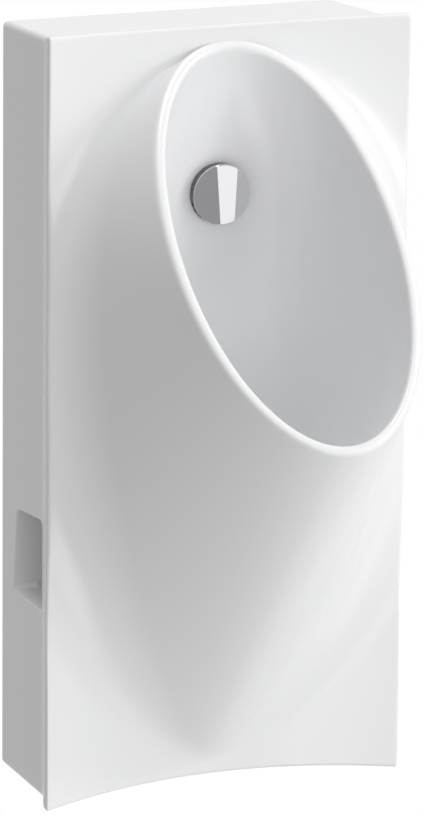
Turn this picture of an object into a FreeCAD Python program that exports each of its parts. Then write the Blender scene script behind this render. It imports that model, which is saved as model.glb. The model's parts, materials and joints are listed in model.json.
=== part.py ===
import FreeCAD, Part
import math
import os
import Sketcher
from FreeCAD import Placement, Rotation, Vector

# A wall-hung urinal of glazed vitreous china with its spray head, drain fittings and
# wall hangers. Frame, in millimetres: X across, Y into the wall, Z up. The origin is on the
# wall face, midway between the two fixing bolts, and the bowl comes out towards -Y.
# A "depth" is a distance from the wall face, so a point at depth d lies at Y = -d. A
# "height" is measured from the lowest point of the china, which is one bolt height below
# the origin, so every finished piece is let down by that height.

SIZES = (
    # the china casing behind the front panel
    ("overall_height", 670.0),
    ("lip_width", 333.0),
    ("lip_depth", 130.5),
    ("back_width", 309.5),
    ("back_top", 662.0),
    ("back_bottom", 6.0),
    ("side_draft", 2.8),
    ("top_draft", 3.0),
    ("bottom_draft", 2.0),
    ("flare_start", 82.0),
    ("flare_end", 126.0),
    ("outline_corner", 5.0),
    ("arch_rise", 5.8),
    # the front panel: hollow across, and dipping back towards the wall beside the bowl
    ("recess_top", 10.3),
    ("recess_bottom", 29.7),
    ("waist_dip", 21.7),
    ("waist_height", 396.0),
    ("waist_rise", 108.0),
    ("waist_fall", 155.0),
    # the fold line where the bowl's sides would meet the panel without their soft blend
    ("fold_half_width", 156.0),
    ("fold_height", 429.0),
    ("fold_top", 642.6),
    ("fold_tip", 24.0),
    ("fold_taper", 0.29),
    ("fold_taper_power", 4.1),
    ("fold_squareness", 2.18),
    ("blend_top", 10.9),
    ("blend_shoulder", 26.6),
    ("blend_side", 70.8),
    ("blend_hip", 50.9),
    ("blend_tip", 7.0),
    ("blend_reach", 2.0),
    # the tilted oval rim
    ("rim_depth", 246.6),
    ("rim_height", 507.2),
    ("rim_tilt", 40.5),
    ("rim_half_width", 106.5),
    ("rim_half_length", 197.3),
    ("rim_band", 9.4),
    ("rim_round", 4.2),
    # the china's walls
    ("casing_wall", 12.0),
    ("bowl_wall", 11.0),
    # the inside of the bowl
    ("bowl_back", 101.4),
    ("bowl_flatness", 0.45),
    ("drain_depth", 154.0),
    ("bowl_floor", 224.0),
    ("floor_radius", 37.0),
    # the trap cast into the china below the bowl
    ("trap_bore", 19.0),
    ("trap_wall", 9.0),
    ("trap_bend", 30.0),
    ("trap_low", 165.0),
    ("outlet_height", 225.0),
    ("horn_radius", 38.0),
    ("horn_length", 32.0),
    # the strainer and its seat
    ("strainer_radius", 28.0),
    ("strainer_clearance", 0.5),
    ("strainer_thickness", 1.6),
    ("strainer_crown", 3.0),
    ("strainer_crown_radius", 15.0),
    ("strainer_step", 0.5),
    ("strainer_skirt", 13.0),
    ("strainer_wall", 1.5),
    ("strainer_hole", 2.6),
    ("strainer_gasket_thickness", 1.5),
    ("seat_depth", 4.0),
    # the outlet gasket and the wall flange
    ("outlet_gasket_thickness", 8.0),
    ("flange_hub_length", 20.0),
    ("flange_plate", 6.0),
    ("flange_radius", 56.0),
    ("pipe_radius", 28.5),
    ("flange_screw_offset", 47.0),
    ("flange_screw_radius", 3.5),
    # the spray head
    ("head_height", 522.0),
    ("head_radius", 26.0),
    ("china_face", 101.8),
    ("boss_thickness", 12.5),
    ("boss_radius", 34.0),
    ("gasket_thickness", 1.2),
    ("barrel_length", 7.2),
    ("barrel_wall", 3.4),
    ("barrel_floor", 1.6),
    ("cap_thickness", 3.0),
    ("cap_bevel", 0.8),
    ("cap_spigot", 2.0),
    ("cap_spigot_wall", 3.2),
    ("facet_fall", 2.0),
    ("left_ridge", 3.8),
    ("right_ridge", 12.3),
    ("slot_width", 2.0),
    ("slot_length", 3.0),
    ("fit_clearance", 0.1),
    ("cap_screw_radius", 1.5),
    ("cap_screw_length", 4.8),
    # the water inlet behind the spray head
    ("shank_radius", 10.45),
    ("shank_bore", 6.0),
    ("shank_end", 50.0),
    ("shank_hole", 12.0),
    ("regulator_radius", 7.4),
    ("regulator_bore", 2.0),
    ("regulator_length", 4.0),
    ("hub_radius", 14.0),
    ("back_washer_thickness", 3.0),
    ("back_washer_radius", 20.0),
    ("friction_ring_thickness", 1.2),
    ("friction_ring_radius", 18.5),
    ("shank_nut_length", 7.0),
    ("shank_nut_flats", 32.0),
    ("tube_radius", 8.0),
    ("tube_bore", 6.5),
    ("tube_tail", 40.0),
    ("tube_shoulder", 0.5),
    ("tube_collar", 3.0),
    ("tube_washer_thickness", 2.0),
    ("coupling_flats", 27.0),
    ("coupling_length", 20.0),
    ("coupling_floor", 3.0),
    # the side pockets and the bushes of their wall bolts
    ("pocket_back", 41.0),
    ("pocket_front", 94.0),
    ("pocket_low", 166.5),
    ("pocket_high", 246.5),
    ("pocket_inner", 94.0),
    ("pocket_draft", 3.0),
    ("pocket_corner", 4.0),
    ("pocket_wall", 10.0),
    ("bolt_offset", 118.0),
    ("bolt_height", 206.0),
    ("bolt_hole", 6.8),
    ("bolt_boss", 20.0),
    ("bush_bore", 5.3),
    ("bush_flange", 12.0),
    ("bush_flange_thickness", 2.5),
    # the hanging ledges and the steel wall hangers
    ("ledge_bottom", 604.0),
    ("ledge_start", 4.0),
    ("ledge_thickness", 12.0),
    ("ledge_inner", 48.0),
    ("hanger_steel", 3.0),
    ("hanger_width", 62.0),
    ("hanger_offset", 97.0),
    ("hanger_bottom", 548.0),
    ("hanger_hook", 20.0),
    ("hanger_gap", 1.0),
    ("hanger_hole_spacing", 36.0),
    ("hanger_hole_height", 572.0),
    ("hanger_hole_radius", 3.5),
)

# Counts and angles that are not lengths.
RING_POINTS = 28
HIDDEN_RING_POINTS = 24
PANEL_STAGES = (1.0, 0.75, 0.55, 0.4, 0.28, 0.18, 0.09, 0.0)
HIDDEN_PANEL_STAGES = (1.0, 0.4, 0.0)
PANEL_REACH = (0.81, 0.72)
FLARE_STEPS = 6
BLEND_STRIPS = 8
HIDDEN_BLEND_STRIPS = 2
ROUND_STRIPS = 3
BOWL_STRIPS = 7
HIDDEN_BOWL_STRIPS = 4
BEND_STEP = 22.5
SLOT_COUNT = 12
SLOT_PITCH = 13.2
FACET_TURN = (4.2, -3.0)
STRAINER_RINGS = ((0.0, 1), (9.6, 7))

# How far skins and cutters run on past the body that they bound or cut.
BEHIND_WALL = 60.0
PAST_FACE = 5.0

# The bowl between its rim and its floor, stage by stage: how far below the spray head its
# back point is, how far down the straight nose its front point is, how much narrower than
# the rim it is on each side, and how much of the full flatness its back has.
BOWL_STAGES = (
    (-76.0, 0.15, -3.0, 0.7),
    (0.0, 0.36, -2.0, 1.0),
    (100.0, 0.58, 6.0, 1.0),
    (190.0, 0.78, 22.0, 1.0),
    (260.0, 0.93, 44.0, 0.5),
)

doc = FreeCAD.newDocument("wall_hung_urinal")
sheet = doc.addObject("Spreadsheet::Sheet", "dims")
for row, (alias, number) in enumerate(SIZES, start=1):
    sheet.set("A%d" % row, alias.replace("_", " "))
    sheet.set("B%d" % row, str(number))
    sheet.setAlias("B%d" % row, alias)
doc.recompute()


class Size:
    """A length from the sheet, or a sum of such lengths, that remembers its formula."""

    def __init__(self, value, formula):
        self.value = float(value)
        self.formula = formula

    def __float__(self):
        return self.value

    def __add__(self, other):
        return Size(self.value + float(other), "(%s + %s)" % (self.formula, formula_of(other)))

    def __sub__(self, other):
        return Size(self.value - float(other), "(%s - %s)" % (self.formula, formula_of(other)))

    def __mul__(self, number):
        return Size(self.value * number, "(%s * %s)" % (self.formula, number))

    def __neg__(self):
        return Size(-self.value, "(0 - %s)" % self.formula)


def formula_of(length):
    return length.formula if isinstance(length, Size) else repr(float(length))


def size(alias):
    return Size(sheet.get(alias), "dims." + alias)


def val(alias):
    return float(sheet.get(alias))


def bind(obj, prop, length):
    """Set a property from a Size and keep it tied to the sheet."""
    obj.setExpression(prop, formula_of(length))


# ------------------------------------------------------------ building blocks for pieces

# A piece that is turned about the spray head's axis is drawn with depth as its own Z.
HEAD_AXIS = Rotation(Vector(1, 0, 0), 90)


def new_body(label):
    body = doc.addObject("PartDesign::Body", label)
    body.Label = label
    return body


def plane_of(body, role):
    return [item for item in body.Origin.OriginFeatures if item.Role == role][0]


def sketch_on(body, role, name, lift=None, turn=None):
    """A sketch on one of the body's own planes, lifted along its normal by a Size."""
    sketch = body.newObject("Sketcher::SketchObject", name)
    sketch.AttachmentSupport = [(plane_of(body, role), "")]
    sketch.MapMode = "FlatFace"
    if turn is not None:
        sketch.AttachmentOffset = Placement(Vector(), Rotation(Vector(0, 1, 0), turn))
    if lift is not None:
        bind(sketch, "AttachmentOffset.Base.z", lift)
    return sketch


def pin_point(sketch, geometry, end, x, y):
    """Hold one end of a sketch element at (x, y), both tied to the sheet."""
    for axis, length, on_axis in (("DistanceX", x, -2), ("DistanceY", y, -1)):
        if float(length) == 0:
            sketch.addConstraint(Sketcher.Constraint("PointOnObject", geometry, end, on_axis))
            continue
        rule = Sketcher.Constraint(axis, -1, 1, geometry, end, float(length))
        index = sketch.addConstraint(rule)
        bind(sketch, "Constraints[%d]" % index, length)


def add_outline(sketch, corners):
    """A closed outline of straight lines through corners given as pairs of Sizes."""
    spots = [Vector(float(x), float(y), 0) for x, y in corners]
    first = sketch.GeometryCount
    count = len(corners)
    for index in range(count):
        line = Part.LineSegment(spots[index], spots[(index + 1) % count])
        sketch.addGeometry(line, False)
    for index in range(count):
        following = first + (index + 1) % count
        sketch.addConstraint(Sketcher.Constraint("Coincident", first + index, 2, following, 1))
    for index, (x, y) in enumerate(corners):
        pin_point(sketch, first + index, 1, x, y)


def add_circle(sketch, x, y, radius):
    circle = Part.Circle(Vector(float(x), float(y), 0), Vector(0, 0, 1), float(radius))
    index = sketch.addGeometry(circle)
    pin_point(sketch, index, 3, x, y)
    rule = sketch.addConstraint(Sketcher.Constraint("Radius", index, float(radius)))
    bind(sketch, "Constraints[%d]" % rule, radius)


def turn_profile(body, name, corners):
    """Revolve a half outline of (radius, height) corners about the body's Z axis."""
    sketch = sketch_on(body, "XZ_Plane", name + "_outline")
    add_outline(sketch, corners)
    turned = body.newObject("PartDesign::Revolution", name)
    turned.Profile = sketch
    turned.ReferenceAxis = (sketch, ["V_Axis"])
    turned.Angle = 360
    sketch.Visibility = False
    return turned


def ring_corners(inner, outer, low, high):
    return [(inner, low), (outer, low), (outer, high), (inner, high)]


def cut_profile(body, name, sketch, length, both_ways=False, reverse=False):
    """Pocket a sketch and make sure that the pocket really removes material."""
    doc.recompute()
    before = body.Shape.Volume
    pocket = body.newObject("PartDesign::Pocket", name)
    pocket.Profile = sketch
    pocket.Midplane = both_ways
    pocket.Reversed = reverse
    bind(pocket, "Length", length)
    sketch.Visibility = False
    doc.recompute()
    if body.Shape.Volume > before - 0.01:
        raise ValueError(name + " removes nothing")
    return pocket


def place_on_head(obj):
    """Stand a piece on the spray head's axis, with its own Z running out of the wall."""
    obj.Placement = Placement(Vector(), HEAD_AXIS)
    bind(obj, "Placement.Base.z", size("head_height") - size("bolt_height"))
    return obj


def primitive(kind, name, **sizes):
    solid = doc.addObject(kind, name)
    for prop, length in sizes.items():
        bind(solid, prop, length)
    solid.Visibility = False
    return solid


def hexagon_nut(label, flats, low, high, bores):
    """A six-sided nut from depth low to high, with bores of (radius, low, high)."""
    prism = doc.addObject("Part::Prism", label + "_blank")
    prism.Polygon = 6
    bind(prism, "Circumradius", flats * round(1 / math.sqrt(3), 6))
    bind(prism, "Height", high - low)
    prism.Placement = Placement(Vector(0, 0, float(low)), Rotation())
    bind(prism, "Placement.Base.z", low)
    drills = []
    for index, (radius, start, end) in enumerate(bores):
        name = "%s_bore_%d" % (label, index)
        drill = primitive("Part::Cylinder", name, Radius=radius, Height=end - start)
        bind(drill, "Placement.Base.z", start)
        drills.append(drill)
    tool = drills[0]
    if len(drills) > 1:
        tool = doc.addObject("Part::MultiFuse", label + "_bores")
        tool.Shapes = drills
    nut = doc.addObject("Part::Cut", label)
    nut.Label = label
    nut.Base = prism
    nut.Tool = tool
    return place_on_head(nut)


# ---------------------------------------------------------------- the china's front skin


def blend_length(angle):
    """How far the soft blend runs either side of the fold, from its tip to its top."""
    names = ("blend_tip", "blend_hip", "blend_side", "blend_shoulder", "blend_top")
    values = [val(name) for name in names]
    last = len(values) - 1
    turn = math.asin(max(-1.0, min(1.0, math.sin(angle)))) + math.pi / 2
    total = 0.0
    for order in range(last + 1):
        wave = 0.0
        for index, value in enumerate(values):
            share = 0.5 if index in (0, last) else 1.0
            wave += share * value * math.cos(math.pi * index * order / last)
        share = 1.0 if order in (0, last) else 2.0
        total += share * wave / last * math.cos(order * turn)
    return total


def panel_point(x, z, inset):
    """A point of the front panel, which is hollow across and dips beside the bowl."""
    share = z / val("overall_height")
    recess = val("recess_bottom") + (val("recess_top") - val("recess_bottom")) * share
    across = x / (val("lip_width") / 2)
    reach = val("waist_rise") if z > val("waist_height") else val("waist_fall")
    dip = val("waist_dip") * math.exp(-((z - val("waist_height")) / reach) ** 2)
    depth = val("lip_depth") - recess * (1 - across * across) - dip - inset
    return Vector(x, -depth, z)


def fold_point(angle, inset):
    """The outline of the bowl's sides on the panel: broad above, drawn in below."""
    across = math.cos(angle)
    up = math.sin(angle)
    half_width = val("fold_half_width") - inset
    if up >= 0:
        power = 2 / val("fold_squareness")
        x = half_width * math.copysign(abs(across) ** power, across)
        z = val("fold_height") + (val("fold_top") - inset - val("fold_height")) * up ** power
    else:
        taper = 1 - val("fold_taper") * abs(up) ** val("fold_taper_power")
        x = half_width * across * taper
        z = val("fold_height") + (val("fold_height") - val("fold_tip") - 1.6 * inset) * up
    return panel_point(x, z, inset)


def fold_outward(angle, inset):
    """Unit vector along the panel, square to the fold and away from the bowl."""
    step = 0.02
    along = fold_point(angle + step, inset) - fold_point(angle - step, inset)
    return Vector(along.z, 0, -along.x).normalize()


def rim_up():
    """Unit vector up the long axis of the tilted rim."""
    tilt = math.radians(val("rim_tilt"))
    return Vector(0, math.sin(tilt), math.cos(tilt))


def rim_out():
    """Unit vector square to the rim's plane, out of the bowl."""
    tilt = math.radians(val("rim_tilt"))
    return Vector(0, -math.cos(tilt), math.sin(tilt))


def rim_point(angle, inset, lift=0.0):
    centre = Vector(0, -val("rim_depth"), val("rim_height"))
    wide = Vector(1, 0, 0) * ((val("rim_half_width") - inset) * math.cos(angle))
    long = rim_up() * ((val("rim_half_length") - inset) * math.sin(angle))
    return centre + wide + long + rim_out() * lift


def towards(start, end, length):
    return start + (end - start).normalize() * length


def ring_angles(count):
    """Stations round a ring, closer together at the sides, where the outline bends most."""
    turns = [2 * math.pi * index / count for index in range(count)]
    return [turn - 0.2 * math.sin(2 * turn) for turn in turns]


def ring_curve(points):
    """A closed smooth curve through points."""
    curve = Part.BSplineCurve()
    stations = [float(index) for index in range(len(points) + 1)]
    curve.interpolate(Points=points, PeriodicFlag=True, Parameters=stations)
    return curve


def smooth_band(rings, degree):
    """The smooth surface from the first ring to the last, drawn towards those between."""
    curves = [ring_curve(ring) for ring in rings]
    first = curves[0]
    grid = [list(row) for row in zip(*[curve.getPoles() for curve in curves])]
    spans = len(rings) - degree
    surface = Part.BSplineSurface()
    surface.buildFromPolesMultsKnots(
        grid,
        first.getMultiplicities(),
        [degree + 1] + [1] * (spans - 1) + [degree + 1],
        first.getKnots(),
        [float(knot) for knot in range(spans + 1)],
        True,
        False,
        first.Degree,
        degree,
    )
    return surface


def strips(rings, count=1, degree=None):
    """The smooth band through control rings, laid as a number of plain ruled strips."""
    surface = smooth_band(rings, degree or len(rings) - 1)
    low, high = surface.bounds()[2:]
    lines = [surface.vIso(low + (high - low) * step / count) for step in range(count + 1)]
    faces = []
    for first, last in zip(lines, lines[1:]):
        grid = [list(row) for row in zip(first.getPoles(), last.getPoles())]
        knots = first.getKnots()
        mults = first.getMultiplicities()
        ruled = Part.BSplineSurface()
        ruled.buildFromPolesMultsKnots(
            grid, mults, [2, 2], knots, [0.0, 1.0], True, False, first.Degree, 1)
        faces.append(ruled.toShape())
    return faces


def disc(ring):
    """The flat face inside a plane ring."""
    return Part.Face(Part.Wire([ring_curve(ring).toShape()]))


def facets(rings, count=1, degree=None):
    """The band through control rings as flat triangles, for rough skins out of sight."""
    surface = smooth_band(rings, degree or len(rings) - 1)
    low, high = surface.bounds()[2:]
    stations = range(len(rings[0]))
    rows = []
    for step in range(count + 1):
        across = low + (high - low) * step / count
        rows.append([surface.value(station, across) for station in stations])
    faces = []
    for first, last in zip(rows, rows[1:]):
        for index in stations:
            after = (index + 1) % len(first)
            for corners in (
                (first[index], first[after], last[after]),
                (first[index], last[after], last[index]),
            ):
                faces.append(Part.Face(Part.makePolygon(corners + corners[:1])))
    return faces


def plate(ring):
    """The flat many-sided face inside a plane ring."""
    return Part.Face(Part.makePolygon(ring + ring[:1]))


def closed_solid(faces):
    """A solid whose boundary is the given faces, sewn together."""
    shell = Part.makeShell(faces)
    shell.sewShape()
    solid = Part.makeSolid(shell)
    if solid.Volume < 0:
        solid.reverse()
    return solid


def front_solid(inset, hidden=False):
    """Everything behind the front skin, with the skin moved inwards by inset."""
    angles = ring_angles(HIDDEN_RING_POINTS if hidden else RING_POINTS)
    stages = HIDDEN_PANEL_STAGES if hidden else PANEL_STAGES
    middle = val("overall_height") / 2
    reach_x = PANEL_REACH[0] * val("lip_width")
    reach_z = PANEL_REACH[1] * val("overall_height")
    rings = {"far": [], "start": [], "fold": [], "end": [], "shoulder": [], "edge": [], "flat": []}
    for angle in angles:
        fold = fold_point(angle, inset)
        edge = rim_point(angle, inset, -inset)
        blend = blend_length(angle)
        start = fold + fold_outward(angle, inset) * blend
        run = (edge - fold).Length
        pull = val("blend_reach") * blend
        rings["far"].append(
            Vector(reach_x * math.cos(angle), 0, middle + reach_z * math.sin(angle)))
        rings["start"].append(panel_point(start.x, start.z, inset))
        rings["fold"].append(fold)
        rings["end"].append(towards(fold, edge, run * pull / (pull + run)))
        rings["shoulder"].append(towards(edge, fold, val("rim_round")))
        rings["edge"].append(edge)
        rings["flat"].append(rim_point(angle, inset + val("rim_round"), -inset))

    def panel_ring(stage):
        flat = [near + (far - near) * stage for near, far in zip(rings["start"], rings["far"])]
        return [panel_point(spot.x, spot.z, inset) for spot in flat]

    panels = [panel_ring(stage) for stage in stages]
    behind = [Vector(spot.x, BEHIND_WALL, spot.z) for spot in panels[0]]
    band = facets if hidden else strips
    faces = band([behind, panels[0]])
    for outer, inner in zip(panels, panels[1:]):
        faces += band([outer, inner])
    blends = HIDDEN_BLEND_STRIPS if hidden else BLEND_STRIPS
    faces += band([panels[-1], rings["fold"], rings["end"]], blends)
    if hidden:
        faces += band([rings["end"], rings["edge"]])
        return closed_solid(faces + [plate(rings["edge"]), plate(behind)])
    faces += band([rings["end"], rings["shoulder"]])
    faces += band([rings["shoulder"], rings["edge"], rings["flat"]], ROUND_STRIPS)
    return closed_solid(faces + [disc(rings["flat"]), disc(behind)])


# ------------------------------------------------------------ the rest of the china body


def slab(wide, deep, tall):
    """A box from pairs of low and high X, depth and Z."""
    corner = Vector(wide[0], -deep[1], tall[0])
    return Part.makeBox(wide[1] - wide[0], deep[1] - deep[0], tall[1] - tall[0], corner)


def post(radius, x, z, deep):
    """A round bar square to the wall, between two depths."""
    return Part.makeCylinder(radius, deep[1] - deep[0], Vector(x, -deep[0], z), Vector(0, -1, 0))


def casing_outline(depth):
    """The casing's rounded outline at one depth: drafted, then flared by an ogee."""
    start = val("flare_start")
    end = val("flare_end")
    draft = min(depth / start, 1.0)
    share = max(0.0, min((depth - start) / (end - start), 1.0))
    flare = share * share * (3 - 2 * share)

    def grown(back, drafted, lip):
        return back + drafted * draft + (lip - back - drafted) * flare

    half = grown(val("back_width") / 2, val("side_draft"), val("lip_width") / 2)
    low = grown(val("back_bottom"), -val("bottom_draft"), 0.0)
    high = grown(val("back_top"), val("top_draft"), val("overall_height"))
    return rounded_outline(-half, half, low, high, depth, val("outline_corner"))


def rounded_outline(left, right, low, high, depth, radius):
    """A wire of four straight sides and four arcs in the plane at one depth."""
    lean = radius * (1 - math.cos(math.pi / 4))
    near = radius

    def spot(x, z):
        return Vector(x, -depth, z)

    edges = []
    # Each corner: the point where its arc starts, its middle and its end.
    corners = (
        (spot(right, low + near), spot(right - lean, low + lean), spot(right - near, low)),
        (spot(left + near, low), spot(left + lean, low + lean), spot(left, low + near)),
        (spot(left, high - near), spot(left + lean, high - lean), spot(left + near, high)),
        (spot(right - near, high), spot(right - lean, high - lean), spot(right, high - near)),
    )
    for index, (first, middle, last) in enumerate(corners):
        edges.append(Part.Arc(first, middle, last).toShape())
        edges.append(Part.makeLine(last, corners[(index + 1) % 4][0]))
    return Part.Wire(edges)


def casing_block():
    """The casing's sides, top and bottom, run on forwards past the bowl."""
    start = val("flare_start")
    step = (val("flare_end") - start) / FLARE_STEPS
    depths = [0.0] + [start + step * index for index in range(FLARE_STEPS + 1)]
    depths.append(val("rim_depth") + val("rim_half_length"))
    return Part.makeLoft([casing_outline(depth) for depth in depths], True, True)


def bowl_solid(grow, hidden=False):
    """The hollow of the bowl, or with grow its hidden outside, from the floor to the rim."""
    angles = ring_angles(HIDDEN_RING_POINTS if hidden else RING_POINTS)
    floor = val("bowl_floor")
    width = val("rim_half_width") - val("rim_band")
    length = val("rim_half_length") - val("rim_band")
    centre = Vector(0, -val("rim_depth"), val("rim_height"))
    nose = centre - rim_up() * length
    hem = val("floor_radius")
    floor_back = Vector(0, hem - val("drain_depth"), floor)
    floor_front = Vector(0, -hem - val("drain_depth"), floor)
    run = nose - floor_front

    def ring(rear, fore, half_width, flatness):
        """An oval between its back and front points, with its back half flattened."""
        along = (rear - fore).normalize()
        half_length = (rear - fore).Length / 2 + grow
        spots = []
        for angle in angles:
            up = math.sin(angle)
            if up > 0:
                up *= 1 + flatness * (1 - up * up)
            across = Vector((half_width + grow) * math.cos(angle), 0, 0)
            spots.append((rear + fore) * 0.5 + across + along * (half_length * up))
        return spots

    rings = [ring(centre + rim_up() * length, nose, width, 0.0)]
    for fall, share, narrowing, flatness in BOWL_STAGES:
        rear = Vector(0, -val("bowl_back"), val("head_height") - fall)
        fore = nose - run * share
        rings.append(ring(rear, fore, width - narrowing, flatness * val("bowl_flatness")))
    bottom = ring(floor_back, floor_front, hem, 0.0)
    rings.append([spot - Vector(0, 0, grow) for spot in bottom])
    if hidden:
        faces = strips(rings, HIDDEN_BOWL_STRIPS, 3)
        return closed_solid(faces + [disc(rings[0]), disc(rings[-1])])
    edge = rings[0]
    rings[0] = [towards(spot, below, val("rim_round")) for spot, below in zip(edge, rings[1])]
    flat = [rim_point(angle, val("rim_band") - val("rim_round")) for angle in angles]
    above = [spot + rim_out() * PAST_FACE for spot in flat]
    faces = strips(rings, BOWL_STRIPS, 3) + strips([rings[0], edge, flat], ROUND_STRIPS)
    faces += strips([flat, above])
    return closed_solid(faces + [disc(above), disc(rings[-1])])


def trap_pipe(radius, top, outlet_depth):
    """The bent passage from the drain down, up again and out to the wall."""
    bend = val("trap_bend")
    low = val("trap_low")
    near = -val("drain_depth")
    high = val("outlet_height")

    def bend_spots(middle_y, middle_z, start, end):
        """Points round a bend in the middle plane, from one angle to another."""
        count = round(abs(end - start) / BEND_STEP)
        spots = []
        for step in range(count + 1):
            turn = math.radians(start + (end - start) * step / count)
            spots.append(Vector(0, middle_y + bend * math.cos(turn), middle_z + bend * math.sin(turn)))
        return spots

    route = [Vector(0, near, top)]
    route += bend_spots(near + bend, low, 180, 360)
    route += bend_spots(near + 3 * bend, high - bend, 180, 90)
    route.append(Vector(0, -outlet_depth, high))
    path = Part.makePolygon(route)
    circle = Part.Wire([Part.makeCircle(radius, route[0], Vector(0, 0, -1))])
    # The last argument mitres the pipe at every corner of its path.
    return path.makePipeShell([circle], True, False, 1)


def rounded_rectangle(x, deep, tall):
    """A wire with rounded corners in the plane at x, between two depths and two heights."""
    radius = val("pocket_corner")
    sheet_face = Part.makeBox(1, deep[1] - deep[0], tall[1] - tall[0], Vector(x, -deep[1], tall[0]))
    long_edges = [edge for edge in sheet_face.Edges if edge.BoundBox.XLength > 0.5]
    rounded = sheet_face.makeFillet(radius, long_edges)
    flat_faces = [face for face in rounded.Faces if face.BoundBox.XLength < 0.01]
    return min(flat_faces, key=lambda face: face.CenterOfMass.x).OuterWire


def side_pocket():
    """The recess in the right side wall, which opens wider towards its mouth."""
    draft = val("pocket_draft")
    back = val("pocket_back")
    front = val("pocket_front")
    low = val("pocket_low")
    high = val("pocket_high")
    deep_end = rounded_rectangle(val("pocket_inner"), (back, front - draft), (low + draft, high - draft))
    mouth = rounded_rectangle(val("lip_width") / 2 + PAST_FACE, (back, front), (low, high))
    return Part.makeLoft([deep_end, mouth], True, True)


def both_sides(solid):
    return [solid, solid.mirror(Vector(0, 0, 0), Vector(1, 0, 0))]


def horn_depth():
    return val("flange_hub_length") + val("outlet_gasket_thickness")


def china_shapes():
    """The china's regions: the body with its front skin, bowl, trap and side pockets."""
    wall = val("casing_wall")
    inner = val("back_width") / 2 - wall
    floor = val("bowl_floor")
    head = val("head_height")
    outlet = val("outlet_height")
    face = val("china_face")
    boss = face - val("boss_thickness")
    bolt = val("bolt_offset")
    bolt_height = val("bolt_height")
    shell_wall = val("pocket_wall")
    top = val("back_top") - wall
    outside = casing_block().common(front_solid(0.0))

    # The hollow behind the skin, and the cavity that what stands in it leaves open.
    past_rim = val("rim_depth") + val("rim_half_length")
    hollow = slab((-inner, inner), (-1, past_rim), (val("back_bottom") + wall, top))
    hollow = hollow.common(front_solid(wall, hidden=True))
    tall = (val("pocket_low") - shell_wall, val("pocket_high") + shell_wall)
    deep = (val("pocket_back") - shell_wall, val("pocket_front") + shell_wall)
    past_wall = inner + PAST_FACE
    pocket_shell = slab((val("pocket_inner") - shell_wall, past_wall), deep, tall)
    ledge_deep = (val("ledge_start"), val("ledge_start") + val("ledge_thickness"))
    ledge_tall = (val("ledge_bottom"), top + PAST_FACE)
    ledge = slab((val("ledge_inner"), past_wall), ledge_deep, ledge_tall)
    bolt_post = post(val("bolt_boss"), bolt, bolt_height, (0, val("pocket_back")))
    horn_deep = (horn_depth(), horn_depth() + val("horn_length"))
    bowl_region = [bowl_solid(val("bowl_wall"), hidden=True)]
    bowl_region.append(post(val("boss_radius"), 0, head, (boss, face)))
    trap_region = [trap_pipe(val("trap_bore") + val("trap_wall"), floor - 2, horn_depth())]
    trap_region.append(post(val("horn_radius"), 0, outlet, horn_deep))
    standing = both_sides(pocket_shell) + both_sides(ledge) + both_sides(bolt_post)
    cavity = hollow.cut(bowl_region + trap_region + standing)

    # What is cut from the outside: the bowl, the trap, the pockets, the holes, the arch.
    half = val("lip_width") / 2
    arch = val("arch_rise")
    arch_radius = (half * half + arch * arch) / (2 * arch)
    cuts = [bowl_solid(0.0)]
    cuts.append(trap_pipe(val("trap_bore"), floor, horn_depth() - 1))
    seat = val("strainer_radius") + val("strainer_clearance")
    seat_spot = Vector(0, -val("drain_depth"), floor - val("seat_depth"))
    cuts.append(Part.makeCylinder(seat, val("seat_depth") + 1, seat_spot))
    cuts += both_sides(side_pocket())
    cuts += both_sides(post(val("bolt_hole"), bolt, bolt_height, (-1, val("pocket_back") + 1)))
    cuts.append(post(val("shank_hole"), 0, head, (boss - 1, face + 1)))
    cuts.append(post(val("head_radius") + 1, 0, head, (face, face + PAST_FACE)))
    cuts.append(post(arch_radius, 0, arch - arch_radius, (-1, val("rim_depth"))))
    casting = outside.cut([cavity] + cuts)
    bowl_fill = bowl_region[0].fuse(bowl_region[1:])
    trap_fill = trap_region[0].fuse(trap_region[1:]).cut(bowl_fill)
    pocket_fills = both_sides(pocket_shell.fuse(bolt_post).common(hollow))
    return {
        "china_body": casting.cut([bowl_fill, trap_fill] + pocket_fills),
        "china_bowl": casting.common(bowl_fill),
        "china_trap": casting.common(trap_fill),
        "china_pocket_right": casting.common(pocket_fills[0]),
        "china_pocket_left": casting.common(pocket_fills[1]),
    }


# The casting is one piece of china. It is written as five that meet exactly, because the
# casing, the bowl, the trap and the pockets each bend round a space of their own.
for name, shape in china_shapes().items():
    china = doc.addObject("Part::Feature", name)
    china.Label = name
    china.Shape = shape
    china.Placement = Placement(Vector(0, 0, -val("bolt_height")), Rotation())

# ---------------------------------------------------------------------- the spray head

gasket_low = size("china_face")
barrel_low = gasket_low + size("gasket_thickness")
floor_top = barrel_low + size("barrel_floor")
barrel_top = barrel_low + size("barrel_length")
cap_top = barrel_top + size("cap_thickness")
zero = Size(0, "0")

gasket = new_body("front_gasket")
turn_profile(gasket, "ring", ring_corners(
    size("shank_hole"), size("head_radius") - size("cap_bevel"), gasket_low, barrel_low))

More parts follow.
